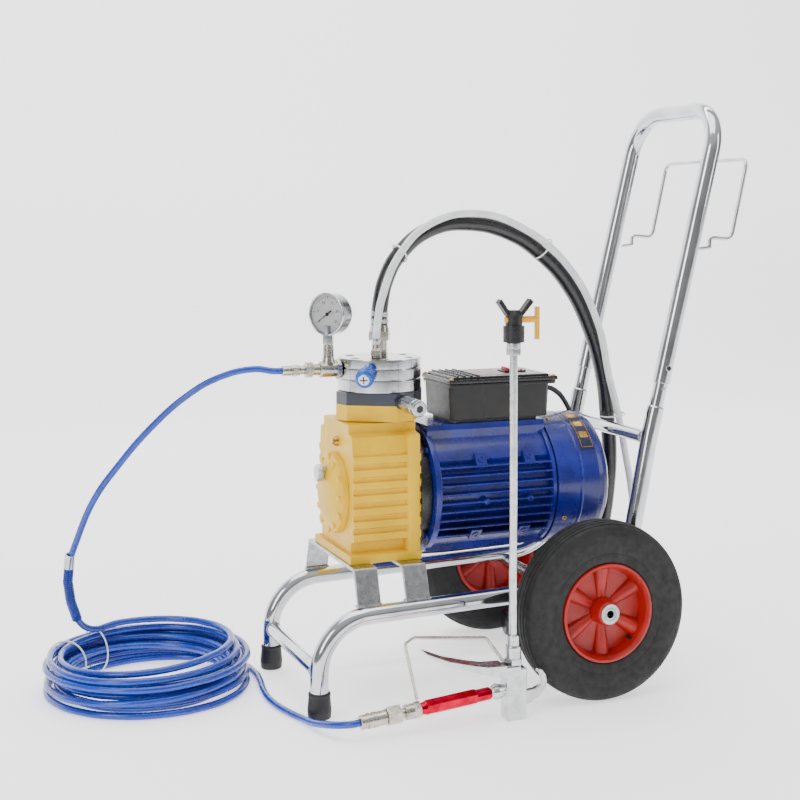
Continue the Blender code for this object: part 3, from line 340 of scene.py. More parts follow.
# %% High-pressure hose
HOSE_R = 0.005
HOSE_CENTRE = (-0.373, 0.099)
DROP = [
    (-0.2003, 0.000, 0.4625), (-0.2120, 0.000, 0.4628), (-0.2381, 0.008, 0.4660),
    (-0.2860, 0.025, 0.4540), (-0.3266, 0.040, 0.4292), (-0.3758, 0.065, 0.3805),
    (-0.4151, 0.085, 0.3300), (-0.4467, 0.110, 0.2778), (-0.4677, 0.135, 0.2168),
    (-0.4775, 0.150, 0.1760), (-0.4785, 0.158, 0.1500), (-0.4730, 0.168, 0.1180),
    (-0.4630, 0.179, 0.0890),
]
RUN = [
    (-0.2215, 0.0450, 0.0055), (-0.2285, 0.0000, 0.0055),
    (-0.2300, -0.0450, 0.0055), (-0.2200, -0.0980, 0.0055), (-0.2110, -0.1270, 0.0058),
    (-0.2060, -0.1550, 0.0085), (-0.1990, -0.1800, 0.0135), (-0.1885, -0.2010, 0.0180),
    (-0.1760, -0.2145, 0.0213), (-0.1680, -0.2185, 0.0227), (-0.1615, -0.2188, 0.0233),
]
HOSE_STATIONS = [
    (0.1190, 0.0660), (0.1240, 0.0520), (0.1370, 0.0500), (0.1425, 0.0410), (0.1290, 0.0395),
    (0.1150, 0.0375), (0.1080, 0.0275), (0.1220, 0.0275), (0.1370, 0.0290), (0.1430, 0.0180),
    (0.1280, 0.0165), (0.1140, 0.0060), (0.1420, 0.0058), (0.1535, 0.0056),
]
hose_coil = coil_route(HOSE_CENTRE, 124, -5 - 11 * 360, HOSE_STATIONS, 16, 0.0018)
hose_route = [at(*p) for p in DROP] + hose_coil + [at(*p) for p in RUN]
paint_hose = smooth_curve("paint_hose", hose_route, HOSE_R, hose_blue, 5, 3)
print("paint hose:", round(curve_length(paint_hose), 2), "m")

# %% Suction hose and return tube
SUCTION = [
    (-0.0530, 0.000, 0.5243), (-0.0530, 0.000, 0.5380), (-0.0505, 0.000, 0.5600),
    (-0.0440, 0.001, 0.5860), (-0.0220, 0.003, 0.6248), (0.0324, 0.008, 0.6636),
    (0.0981, 0.013, 0.6713), (0.1695, 0.020, 0.6547), (0.2180, 0.026, 0.6268),
    (0.2685, 0.034, 0.5814), (0.3157, 0.045, 0.5094), (0.3470, 0.055, 0.4277),
    (0.3580, 0.060, 0.3638), (0.3641, 0.062, 0.3020), (0.3610, 0.064, 0.2354),
    (0.3560, 0.068, 0.1900), (0.3500, 0.074, 0.1500), (0.3390, 0.083, 0.1080),
    (0.3200, 0.094, 0.0700), (0.3010, 0.104, 0.0460), (0.2787, 0.1151, 0.02905),
    (0.2640, 0.118, 0.0280),
]
RETURN = [
    (-0.0660, -0.0230, 0.4978), (-0.0660, -0.0230, 0.5080), (-0.0640, -0.0250, 0.5350),
    (-0.0590, -0.0255, 0.5620), (-0.0252, -0.0180, 0.6305), (0.0250, -0.0100, 0.6717),
    (0.0992, -0.0040, 0.6860), (0.1759, 0.0020, 0.6655), (0.2560, 0.0100, 0.6102),
    (0.3189, 0.0220, 0.5168), (0.3471, 0.0320, 0.4243), (0.3660, 0.0370, 0.3658),
    (0.3803, 0.0400, 0.3041), (0.3920, 0.0420, 0.2491), (0.3980, 0.0430, 0.1950),
    (0.4010, 0.0430, 0.1400), (0.3990, 0.0420, 0.0900), (0.3900, 0.0400, 0.0480),
    (0.3720, 0.0370, 0.0190), (0.3480, 0.0340, 0.0072), (0.3320, 0.0325, 0.0058),
]
SUCTION_R, RETURN_R = 0.012, 0.0055
suction_hose = smooth_curve("suction_line", [at(*p) for p in SUCTION], SUCTION_R, hose_black, 12, 8)
return_tube = smooth_curve("return_line", [at(*p) for p in RETURN], RETURN_R, tube_white, 12, 6)
print("suction and return:", round(curve_length(suction_hose), 3), round(curve_length(return_tube), 3), "m")

# %% Mains cable
CABLE_R = 0.004
CABLE_CENTRE = (0.305, -0.055)
CABLE_DROP = [
    (0.2213, 0.020, 0.4180), (0.2300, 0.020, 0.4180), (0.2490, 0.025, 0.4100),
    (0.2680, 0.034, 0.3930), (0.2840, 0.043, 0.3680), (0.2930, 0.048, 0.3350),
    (0.2970, 0.045, 0.2900), (0.2980, 0.034, 0.2400), (0.2980, 0.018, 0.1850),
    (0.2980, 0.004, 0.1300), (0.2970, -0.005, 0.0900), (0.2975, -0.0085, 0.0600),
    (0.3040, -0.0100, 0.0350),
]
CABLE_STATIONS = [
    (0.0440, 0.0230), (0.0455, 0.0205), (0.0375, 0.0203), (0.0376, 0.0123), (0.0376, 0.0043),
    (0.0457, 0.0043), (0.0457, 0.0123), (0.0538, 0.0043), (0.0538, 0.0123), (0.0538, 0.0203),
]
CABLE_TAIL = [(0.2920, -0.1085, 0.0200), (0.2800, -0.1085, 0.0200), (0.2700, -0.1085, 0.0200)]
cable_coil = coil_route(CABLE_CENTRE, 68, 270 - 9 * 360, CABLE_STATIONS, 16)
cable_route = [at(*p) for p in CABLE_DROP] + cable_coil + [at(*p) for p in CABLE_TAIL]
mains_cable = smooth_curve("mains_lead", cable_route, CABLE_R, cable_black, 5, 3)
print("mains cable:", round(curve_length(mains_cable), 2), "m")


# %% [markdown]
# ## Making and keeping pieces
#
# New pieces are drawn as small bmeshes: a profile turned on an axis, an outline given a thickness,
# or a round section swept along points. Several can be gathered into one piece. Every piece then
# gets weighted normals, which keep broad faces flat beside their rounded edges, and rides on the
# body that carries it.

# %% Drawing helpers
def turned(profile, steps=64):
    """A profile of (radius, height), top to bottom outside, spun about Z."""
    bm = bmesh.new()
    verts = [bm.verts.new((r, 0, h)) for r, h in profile]
    for a, b in zip(verts, verts[1:]):
        bm.edges.new((a, b))
    bmesh.ops.spin(bm, geom=bm.verts[:] + bm.edges[:], cent=(0, 0, 0), axis=(0, 0, 1),
                   angle=math.tau, steps=steps, use_merge=True)
    bmesh.ops.remove_doubles(bm, verts=bm.verts, dist=0.000005)
    bmesh.ops.recalc_face_normals(bm, faces=bm.faces)
    return bm


def eased(profile, radius=0.0006, closed=False):
    """The same profile with each of its corners rounded by three points."""
    points = [Vector((r, h)) for r, h in profile]
    made = [] if closed else [points[0]]
    count = len(points)
    for i in range(count if closed else count - 2):
        before, corner, after = points[i], points[(i + 1) % count], points[(i + 2) % count]
        back, ahead = before - corner, after - corner
        cut = min(radius, back.length * 0.45, ahead.length * 0.45)
        start = corner + back.normalized() * cut
        end = corner + ahead.normalized() * cut
        made += [start, corner * 0.5 + (start + end) * 0.25, end]
    made.append(made[0] if closed else points[-1])
    return [tuple(p) for p in made]


def rod(stations, ease=0.0006, steps=48):
    """A stepped solid rod along Z from (height, radius) stations, top first."""
    profile = [(0, stations[0][0])] + [(r, h) for h, r in stations] + [(0, stations[-1][0])]
    return turned(eased(profile, ease), steps)


def collar(inner, outer, low, high, ease=0.0006, steps=48):
    return turned(eased([(outer, high), (outer, low), (inner, low), (inner, high)], ease, True), steps)


def slab(outline, low, high, ease=0.0004, segments=2):
    """An outline in XY given a thickness from z low to z high, with its edges eased."""
    bm = bmesh.new()
    face = bm.faces.new([bm.verts.new((x, y, low)) for x, y in outline])
    made = bmesh.ops.extrude_face_region(bm, geom=[face])["geom"]
    lifted = [v for v in made if isinstance(v, bmesh.types.BMVert)]
    bmesh.ops.translate(bm, verts=lifted, vec=(0, 0, high - low))
    bmesh.ops.recalc_face_normals(bm, faces=bm.faces)
    if ease:
        sharp = [e for e in bm.edges if e.calc_face_angle(0) > math.radians(25)]
        bmesh.ops.bevel(bm, geom=sharp, offset=ease, segments=segments, profile=0.5,
                        affect="EDGES", clamp_overlap=True)
    return bm


def block(low, high, ease=0.001, segments=2):
    """A box between two corners, with its edges eased."""
    outline = [(low[0], low[1]), (high[0], low[1]), (high[0], high[1]), (low[0], high[1])]
    return slab(outline, low[2], high[2], ease, segments)


def swept(points, radius, sides=20, widths=None):
    """A round section carried along points without twisting, closed at both ends."""
    points = [Vector(p) for p in points]
    bm = bmesh.new()
    tangent = (points[1] - points[0]).normalized()
    side = tangent.orthogonal().normalized()
    rings = []
    for i, point in enumerate(points):
        ahead = points[min(i + 1, len(points) - 1)] - points[max(i - 1, 0)]
        turn = tangent.rotation_difference(ahead.normalized())
        tangent = ahead.normalized()
        side = (turn @ side).normalized()
        other = tangent.cross(side)
        width = radius * (widths[i] if widths else 1)
        ring = []
        for k in range(sides):
            a = math.tau * k / sides
            ring.append(bm.verts.new(point + (side * math.cos(a) + other * math.sin(a)) * width))
        rings.append(ring)
    for a, b in zip(rings, rings[1:]):
        for k in range(sides):
            bm.faces.new((a[k], a[(k + 1) % sides], b[(k + 1) % sides], b[k]))
    bm.faces.new(rings[0][::-1])
    bm.faces.new(rings[-1])
    bmesh.ops.recalc_face_normals(bm, faces=bm.faces)
    return bm


def hexagon(across_flats, turn=0.0):
    corner = across_flats / math.sqrt(3)
    return [(corner * math.cos(turn + math.tau * i / 6), corner * math.sin(turn + math.tau * i / 6))
            for i in range(6)]


def nut(across_flats, low, high, bore=0.0, turn=0.0):
    """A hexagon nut along Z with chamfered corners."""
    bm = slab(hexagon(across_flats, turn), low, high, 0.0006)
    if bore:
        lip = collar(bore, across_flats * 0.42, high - 0.0004, high + 0.0004, 0.0002, 24)
        bm = gathered([bm, lip])
    return bm


def gathered(parts):
    """Several bmeshes made one; they may overlap, as welded and screwed pieces do."""
    whole = bmesh.new()
    for part in parts:
        mesh = bpy.data.meshes.new("part")
        part.to_mesh(mesh)
        part.free()
        whole.from_mesh(mesh)
        bpy.data.meshes.remove(mesh)
    return whole


def moved(bm, start, axis=Z_AXIS, across=None):
    """Stands a piece drawn along Z at a place, along an axis, with its own +X turned to across."""
    axis = Vector(axis).normalized()
    if across is None:
        across = X_AXIS if abs(axis.z) > 0.99 else Z_AXIS
    x = (Vector(across) - axis * axis.dot(Vector(across))).normalized()
    turn = Matrix((x, axis.cross(x), axis)).transposed()
    bm.transform(Matrix.Translation(Vector(start)) @ turn.to_4x4())
    return bm


def rounded_path(corners, radii, steps=10):
    """Straight runs between corners, each inner corner rounded to its bend radius."""
    corners = [Vector(c) for c in corners]
    path = [corners[0]]
    for before, corner, after, radius in zip(corners, corners[1:], corners[2:], radii):
        back, ahead = (before - corner).normalized(), (after - corner).normalized()
        half = back.angle(ahead) / 2
        centre = corner + (back + ahead).normalized() * (radius / math.sin(half))
        start = corner + back * (radius / math.tan(half)) - centre
        end = corner + ahead * (radius / math.tan(half)) - centre
        sweep = start.angle(end)
        for i in range(steps + 1):
            share = i / steps
            arm = start * math.sin((1 - share) * sweep) + end * math.sin(share * sweep)
            path.append(centre + arm / math.sin(sweep))
    path.append(corners[-1])
    return path


# %% Keeping a piece
def keep(name, bm, material, body="cart", replaces=(), crease=38):
    """Turns a bmesh into a finished piece on a body."""
    draft = bpy.data.meshes.new(name)
    bm.to_mesh(draft)
    bm.free()
    draft.shade_smooth()
    draft.set_sharp_from_angle(angle=math.radians(crease))
    obj = bpy.data.objects.new(name, draft)
    bpy.context.scene.collection.objects.link(obj)
    weighted = obj.modifiers.new("weighted", "WEIGHTED_NORMAL")
    weighted.keep_sharp = True
    bpy.context.view_layer.update()
    done = bpy.data.meshes.new_from_object(obj.evaluated_get(bpy.context.evaluated_depsgraph_get()))
    obj.modifiers.clear()
    obj.data = done
    done.materials.clear()
    done.materials.append(material)
    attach(obj, body)
    if replaces:
        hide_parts(*([replaces] if isinstance(replaces, str) else replaces))
    return obj


def body_of(node):
    return nodes[node]["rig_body"]


def softened(node, width, material, segments=2, angle=24, extras=()):
    """The solid again, its triangles merged to whole faces and its edges rounded like a casting's."""
    bm = bmesh.new()
    bm.from_mesh(nodes[node].data)
    bmesh.ops.remove_doubles(bm, verts=bm.verts, dist=0.00001)
    bmesh.ops.dissolve_limit(bm, angle_limit=math.radians(1.0), verts=bm.verts, edges=bm.edges)
    sharp = [e for e in bm.edges if len(e.link_faces) == 2 and e.calc_face_angle(0) > math.radians(angle)]
    bmesh.ops.bevel(bm, geom=sharp, offset=width, segments=segments, profile=0.6,
                    affect="EDGES", clamp_overlap=True)
    if extras:
        bm = gathered([bm, *extras])
    return keep(node + "_skin", bm, material, body_of(node), node)


# %% [markdown]
# ## Patterns by Geometry Nodes
#
# Bolts round a flange, ticks round a dial, spokes and flutes are all one stamp repeated round a
# circle, and a spring is one ring of wire repeated along a path. Each is a small tree: it makes the
# points, puts the stamp on them, realises the copies and sets their material. The result is baked
# to a plain mesh, so that nothing is left live on the finished piece.

# %% The two trees
def new_tree(name, inputs):
    tree = bpy.data.node_groups.new(name, "GeometryNodeTree")
    for label, kind in inputs:
        tree.interface.new_socket(label, in_out="INPUT", socket_type=kind)
    tree.interface.new_socket("Geometry", in_out="OUTPUT", socket_type="NodeSocketGeometry")
    return tree, add(tree, "NodeGroupInput").outputs


def end_tree(tree, geometry, material):
    real = add(tree, "GeometryNodeRealizeInstances", {"Geometry": geometry}).outputs["Geometry"]
    done = add(tree, "GeometryNodeSetMaterial", {"Geometry": real, "Material": material})
    add(tree, "NodeGroupOutput", {"Geometry": done.outputs["Geometry"]})
    return tree


def round_tree():
    """Count copies of a stamp on a circle of a radius, from a start angle over a sweep."""
    tree, given = new_tree("stamp_round_a_circle", (
        ("Count", "NodeSocketInt"), ("Radius", "NodeSocketFloat"), ("Start", "NodeSocketFloat"),
        ("Sweep", "NodeSocketFloat"), ("Stamp", "NodeSocketObject"), ("Material", "NodeSocketMaterial")))
    line = add(tree, "GeometryNodeMeshLine", {"Count": given["Count"]}, mode="OFFSET").outputs["Mesh"]
    index = add(tree, "GeometryNodeInputIndex").outputs["Index"]
    step = add(tree, "ShaderNodeMath", {0: given["Sweep"], 1: given["Count"]}, operation="DIVIDE").outputs[0]
    turn = add(tree, "ShaderNodeMath", {0: index, 1: step, 2: given["Start"]},
               operation="MULTIPLY_ADD").outputs[0]
    across = add(tree, "ShaderNodeMath", {0: turn}, operation="COSINE").outputs[0]
    along = add(tree, "ShaderNodeMath", {0: turn}, operation="SINE").outputs[0]
    x = add(tree, "ShaderNodeMath", {0: across, 1: given["Radius"]}, operation="MULTIPLY").outputs[0]
    y = add(tree, "ShaderNodeMath", {0: along, 1: given["Radius"]}, operation="MULTIPLY").outputs[0]
    place = add(tree, "ShaderNodeCombineXYZ", {"X": x, "Y": y}).outputs["Vector"]
    spots = add(tree, "GeometryNodeSetPosition", {"Geometry": line, "Position": place}).outputs["Geometry"]
    stamp = add(tree, "GeometryNodeObjectInfo", {"Object": given["Stamp"]}).outputs["Geometry"]
    spin = add(tree, "ShaderNodeCombineXYZ", {"Z": turn}).outputs["Vector"]
    links = {"Points": spots, "Instance": stamp, "Rotation": spin}
    copies = add(tree, "GeometryNodeInstanceOnPoints", links).outputs["Instances"]
    return end_tree(tree, copies, given["Material"])


def spring_tree():
    """Rings of wire at a pitch along a path, as a close-wound guard spring looks."""
    tree, given = new_tree("wire_rings_on_a_path", (
        ("Path", "NodeSocketObject"), ("Pitch", "NodeSocketFloat"), ("Radius", "NodeSocketFloat"),
        ("Wire", "NodeSocketFloat"), ("Material", "NodeSocketMaterial")))
    path = add(tree, "GeometryNodeObjectInfo", {"Object": given["Path"]}).outputs["Geometry"]
    links = {"Curve": path, "Length": given["Pitch"]}
    spots = add(tree, "GeometryNodeCurveToPoints", links, mode="LENGTH").outputs
    loop = add(tree, "GeometryNodeCurvePrimitiveCircle", {"Resolution": 20, "Radius": given["Radius"]})
    wire = add(tree, "GeometryNodeCurvePrimitiveCircle", {"Resolution": 8, "Radius": given["Wire"]})
    links = {"Curve": loop.outputs["Curve"], "Profile Curve": wire.outputs["Curve"]}
    ring = add(tree, "GeometryNodeCurveToMesh", links).outputs["Mesh"]
    links = {"Points": spots["Points"], "Instance": ring, "Rotation": spots["Rotation"]}
    copies = add(tree, "GeometryNodeInstanceOnPoints", links).outputs["Instances"]
    return end_tree(tree, copies, given["Material"])


ROUND_TREE, SPRING_TREE = round_tree(), spring_tree()


def grown(tree, values):
    """Runs a tree on an empty object with its inputs set by identifier, and returns a bmesh."""
    carrier = bpy.data.objects.new("carrier", bpy.data.meshes.new("carrier"))
    modifier = carrier.modifiers.new("tree", "NODES")
    modifier.node_group = tree
    for item in tree.interface.items_tree:
        if item.in_out == "INPUT":
            modifier[item.identifier] = values[item.name]
    bpy.context.scene.collection.objects.link(carrier)
    bpy.context.view_layer.update()
    mesh = bpy.data.meshes.new_from_object(carrier.evaluated_get(bpy.context.evaluated_depsgraph_get()))
    bm = bmesh.new()
    bm.from_mesh(mesh)
    bpy.data.objects.remove(carrier, do_unlink=True)
    bmesh.ops.recalc_face_normals(bm, faces=bm.faces)
    return bm


def round_about(stamp, count, radius, start_deg=0.0, sweep_deg=360.0):
    """Count copies of a stamp bmesh round Z; the stamp's own +X points outwards."""
    mesh = bpy.data.meshes.new("stamp")
    stamp.to_mesh(mesh)
    stamp.free()
    obj = bpy.data.objects.new("stamp", mesh)
    bpy.context.scene.collection.objects.link(obj)
    bm = grown(ROUND_TREE, {"Count": count, "Radius": radius, "Start": math.radians(start_deg),
                            "Sweep": math.radians(sweep_deg), "Stamp": obj, "Material": machined_steel})
    bpy.data.objects.remove(obj, do_unlink=True)
    return bm


def spring_on(points, pitch, radius, wire):
    """A guard spring along points."""
    curve = bpy.data.curves.new("spring_path", "CURVE")
    curve.dimensions = "3D"
    spline = curve.splines.new("POLY")
    spline.points.add(len(points) - 1)
    for point, place in zip(spline.points, points):
        point.co = (*place, 1)
    obj = bpy.data.objects.new("spring_path", curve)
    bpy.context.scene.collection.objects.link(obj)
    bm = grown(SPRING_TREE, {"Path": obj, "Pitch": pitch, "Radius": radius, "Wire": wire,
                             "Material": zinc_steel})
    bpy.data.objects.remove(obj, do_unlink=True)
    return bm


print("trees ready:", ROUND_TREE.name, "and", SPRING_TREE.name)


# %% [markdown]
# ## Floor and light
#
# A pale floor runs up into a pale wall. Three large soft lights stand round the machine, and the
# dark gap between them is what lets the chromed tubes read as chrome: a mirror needs something dark
# to reflect.

# %% Studio
def studio():
    pale, tree, shader = blank_material("pale_studio_paint", Roughness=0.9, Emission_Strength=1.0)
    tree.links.new(two_tone(tree, object_noise(tree, 900), "#FAFAFA", "#FDFDFD"), shader.inputs["Base Color"])
    bm = bmesh.new()
    rows = [(-4.0, 0.0)] + [(2.2 + 0.8 * math.sin(math.radians(a)), 0.8 - 0.8 * math.cos(math.radians(a)))
                            for a in range(0, 91, 10)] + [(3.0, 5.0)]
    strips = [(bm.verts.new((-6, y, z)), bm.verts.new((7, y, z))) for y, z in rows]
    for (a, b), (c, d) in zip(strips, strips[1:]):
        bm.faces.new((a, b, d, c))
    mesh = bpy.data.meshes.new("studio_floor")
    bm.to_mesh(mesh)
    bm.free()
    mesh.shade_smooth()
    mesh.materials.append(pale)
    floor = bpy.data.objects.new("studio_floor", mesh)
    bpy.context.scene.collection.objects.link(floor)


def soft_light(name, place, aim, size, watts):
    data = bpy.data.lights.new(name, "AREA")
    data.shape = "RECTANGLE"
    data.size, data.size_y = size
    data.energy = watts
    light = bpy.data.objects.new(name, data)
    light.location = place
    light.rotation_euler = (Vector(aim) - Vector(place)).to_track_quat("-Z", "Y").to_euler()
    bpy.context.scene.collection.objects.link(light)


def sky():
    """A bright zenith and a grey horizon, for the chrome to reflect."""
    world = bpy.data.worlds.new("studio_sky")
    bpy.context.scene.world = world
    world.use_nodes = True
    tree = world.node_tree
    way = add(tree, "ShaderNodeTexCoord").outputs["Generated"]
    height = add(tree, "ShaderNodeSeparateXYZ", {"Vector": way}).outputs["Z"]
    ramp = add(tree, "ShaderNodeValToRGB", {"Fac": height})
    stops = ((0.0, "#A8A8A8"), (0.25, "#BDBDBD"), (0.5, "#E8E8E8"), (1.0, "#FFFFFF"))
    while len(ramp.color_ramp.elements) < len(stops):
        ramp.color_ramp.elements.new(0.5)
    for element, (place, tone) in zip(ramp.color_ramp.elements, stops):
        element.position = place
        element.color = linear(tone)
    back = tree.nodes["Background"]
    tree.links.new(ramp.outputs["Color"], back.inputs["Color"])
    back.inputs["Strength"].default_value = 0.75


studio()
sky()
soft_light("overhead", (-0.3, -0.4, 2.9), (0, 0, 0.3), (2.6, 2.0), 46)
soft_light("window_left", (-2.6, -1.6, 1.5), (0, 0, 0.4), (1.0, 1.8), 30)
soft_light("window_right", (2.4, -1.9, 1.4), (0, 0, 0.4), (0.7, 1.8), 16)
soft_light("wall_wash", (0.2, 1.2, 3.4), (0.2, 3.0, 1.2), (4.0, 1.0), 70)
print("studio lit")


# %% [markdown]
# ## The cart
#
# The cart is two bent side tubes joined by cross tubes, with the loop of the handle slid over their
# upper stubs. All of it is round tube of 25 mm, so each run is one swept section through its bend
# corners. Where a flat bar or a cross tube meets a side tube, a bead of weld shows: it is the same
# sweep, along the joint, with its width beating like the drops of a hand-laid weld.

# %% Tubes of the cart
SIDES = {"near": -1, "far": 1}


def line(*places):
    return [at(*place) for place in places]


def upright_x(z):
    return 0.3403 + LEAN * (z - 0.3980)


def rail_z(x):
    return 0.1322 + 0.0275 * (x - LEG_X)


lean_axis = Vector((LEAN, 0, 1)).normalized()
for side, sign in SIDES.items():
    y = sign * FRAME_Y
    corners = line((LEG_X, y, 0.0055), (LEG_X, y, 0.1322), (0.2880, y, 0.1450), (0.3308, y, 0.3600),
                   (0.3403, y, 0.3980))
    tube = swept(rounded_path(corners, (0.074, 0.090, 0.060), 16), TUBE_R, 32)
    top = at(0.3403, y, 0.3980)
    stub = swept([top - lean_axis * 0.002, top + lean_axis * 0.0012, top + lean_axis * 0.105], 0.0104, 28)
    swage = moved(rod([(0.0022, 0.0108), (-0.0006, TUBE_R)], 0.0008, 32), top, lean_axis)
    keep("side_tube_%s_skin" % side, gathered([tube, stub, swage]), chrome_tube, "cart", "side_tube_" + side)
    foot = turned(eased([(TUBE_R + 0.0003, 0.0350), (0.0150, 0.0355), (0.0156, 0.0325), (0.0149, 0.0312),
                         (0.0166, 0.0110), (0.0158, 0.0018), (0.0140, 0.0), (0.0, 0.0)], 0.0010), 48)
    keep("rubber_foot_%s_skin" % side, moved(foot, at(LEG_X, y, 0)), foot_rubber, "cart",
         "rubber_foot_" + side)

reach = FRAME_Y - TUBE_R * 0.55
for name, x, z in (("front_cross_tube", LEG_X, 0.0620), ("rear_cross_tube", 0.3294, 0.3530)):
    bar = swept(line((x, -reach, z), (x, reach, z)), 0.0100, 28)
    keep(name + "_skin", bar, chrome_tube, "cart", name)
print("side tubes, feet and cross tubes")


# %% Weld beads
def bead(points, radius):
    """A hand-laid weld: a sweep whose width beats."""
    widths = [0.8 + 0.35 * abs(math.sin(1.9 * i)) + 0.1 * math.sin(5.1 * i) for i in range(len(points))]
    return swept(points, radius, 8, widths)


def loop_round(centre, axis, radius, count=30):
    frame_turn = Vector(axis).to_track_quat("Z", "Y")
    return [Vector(centre) + frame_turn @ Vector((math.cos(a), math.sin(a), 0)) * radius
            for a in (math.tau * i / count for i in range(count + 1))]


def weld_beads():
    beads = []
    for sign in SIDES.values():
        y = sign * (FRAME_Y - TUBE_R)
        beads.append(bead(loop_round(at(LEG_X, y, 0.0620), Y_AXIS, 0.0103), 0.0014))
        beads.append(bead(loop_round(at(0.3294, y, 0.3530), Y_AXIS, 0.0103), 0.0014))
        for low, high in ((-0.129, -0.095), (-0.058, -0.0225)):
            for x in (low, high):
                row = [at(x, sign * (FRAME_Y + 0.004 - 0.0085 * i / 9), rail_z(x) + TUBE_R + 0.0004)
                       for i in range(10)]
                beads.append(bead(row, 0.0016))
            for across in (0.0035, -0.0035):
                row = [at(low + (high - low) * i / 17, sign * (FRAME_Y + across),
                          rail_z(low) + TUBE_R + 0.0008)
                       for i in range(18)]
                beads.append(bead(row, 0.0018))
    return gathered(beads)


keep("weld_beads", weld_beads(), zinc_steel)
for name in ("pump_strap_front", "pump_strap_rear"):
    softened(name, 0.0012, zinc_steel)
print("straps and welds")

# %% Handle, rack and snap buttons
handle_top_x = upright_x(0.8440)
handle_corners = line((upright_x(0.4345), -FRAME_Y, 0.4345), (handle_top_x, -FRAME_Y, 0.8440),
                      (handle_top_x, FRAME_Y, 0.8440), (upright_x(0.4345), FRAME_Y, 0.4345))
loop = swept(rounded_path(handle_corners, (0.065, 0.065), 20), TUBE_R, 32)
rims, holes = [], []
for sign in SIDES.values():
    rims.append(moved(collar(0.0104, TUBE_R + 0.0002, -0.0008, 0.0012, 0.0006, 32),
                      at(upright_x(0.4345), sign * FRAME_Y, 0.4345), lean_axis))
    hole_place = at(upright_x(0.4569), sign * (FRAME_Y + TUBE_R - 0.0004), 0.4569)
    # The holes are not cut: short black rods set in the tube are painted shade where the holes are.
    holes.append(moved(rod([(0.0004, 0.0036), (-0.0030, 0.0036)], 0.0002, 20), hole_place, Y_AXIS * sign))
    rims.append(moved(collar(0.0036, 0.0046, -0.0006, 0.0007, 0.0004, 20), hole_place, Y_AXIS * sign))
keep("handle_skin", gathered([loop, *rims]), chrome_tube, "handle_unit", "handle")
keep("handle_button_holes", gathered(holes), ink_and_shade_black, "handle_unit")

RACK_HALF = FRAME_Y - 0.003
RACK = [(0.4335, 0.6345), (0.4345, 0.6500), (0.4723, 0.6470), (0.5001, 0.7685)]
rack_corners = [at(x, -RACK_HALF, z) for x, z in RACK] + [at(x, RACK_HALF, z) for x, z in reversed(RACK)]
rack = swept(rounded_path(rack_corners, (0.006, 0.012, 0.014, 0.014, 0.012, 0.006), 8), 0.0030, 16)
rack_welds = [bead(line((0.4150, s * RACK_HALF, 0.6330), (0.4225, s * RACK_HALF, 0.6335),
                        (0.4330, s * RACK_HALF, 0.6350), (0.4340, s * RACK_HALF, 0.6400)), 0.0030)
              for s in SIDES.values()]
keep("hose_rack_skin", gathered([rack, *rack_welds]), chrome_tube, "handle_unit", "hose_rack")
for side, sign in SIDES.items():
    place = at(upright_x(0.4262), sign * FRAME_Y, 0.4262)
    button = rod([(0.0134, 0.0014), (0.0128, 0.0026), (0.0110, 0.0030), (0.0062, 0.0030)], 0.0006, 24)
    keep("snap_button_%s_skin" % side, moved(button, place, Y_AXIS * sign), machined_steel,
         "button_" + side, "snap_button_" + side)
print("handle and rack")


# %% [markdown]
# ## Wheels
#
# Each wheel is a solid-looking rubber tyre, 254 mm across, on a moulded red rim. The tyre is one
# profile turned round the axle: ribbed crown, rounded shoulder, slightly bulged wall and a bead. The
# rim is a turned barrel, web and hub, with six tapering spokes stamped round it by the first tree.

# %% Wheels
TYRE_HALF = [
    (0.1270, 0.0), (0.1270, 0.0036), (0.1250, 0.0044), (0.1250, 0.0060), (0.1268, 0.0068),
    (0.1264, 0.0108), (0.1244, 0.0116), (0.1244, 0.0132), (0.1259, 0.0140), (0.1249, 0.0176),
    (0.1228, 0.0184), (0.1226, 0.0198), (0.1234, 0.0206), (0.1208, 0.0238), (0.1162, 0.0262),
    (0.1095, 0.0276), (0.1000, 0.0281), (0.0905, 0.0277), (0.0858, 0.0268), (0.0848, 0.0261),
    (0.0838, 0.0266), (0.0790, 0.0265), (0.0738, 0.0258), (0.0714, 0.0248), (0.0700, 0.0232),
]
RIM_LIP, RIM_R = 0.0262, 0.0697
RIM_PROFILE = [
    (RIM_R, RIM_LIP - 0.0040), (RIM_R, -RIM_LIP), (0.0650, -RIM_LIP), (0.0625, -0.0220), (0.0598, -0.0030),
    (0.0200, -0.0022), (0.0178, -0.0060), (0.0172, -0.0340), (0.0088, -0.0340), (0.0088, 0.0305),
    (0.0150, 0.0305), (0.0172, 0.0270), (0.0190, 0.0040), (0.0598, 0.0030), (0.0625, 0.0210),
    (0.0660, RIM_LIP + 0.0012), (0.0697, RIM_LIP + 0.0006),
]


def spoke():
    """A tapering spoke along +X, wider at the rim, flattened against the web."""
    bm = rod([(0.0612, 0.0135), (0.0560, 0.0128), (0.0160, 0.0072), (0.0150, 0.0068)], 0.0012, 20)
    moved(bm, (0, 0, 0), X_AXIS)
    bm.transform(Matrix.Diagonal((1, 1, 1.12, 1)))
    return bm


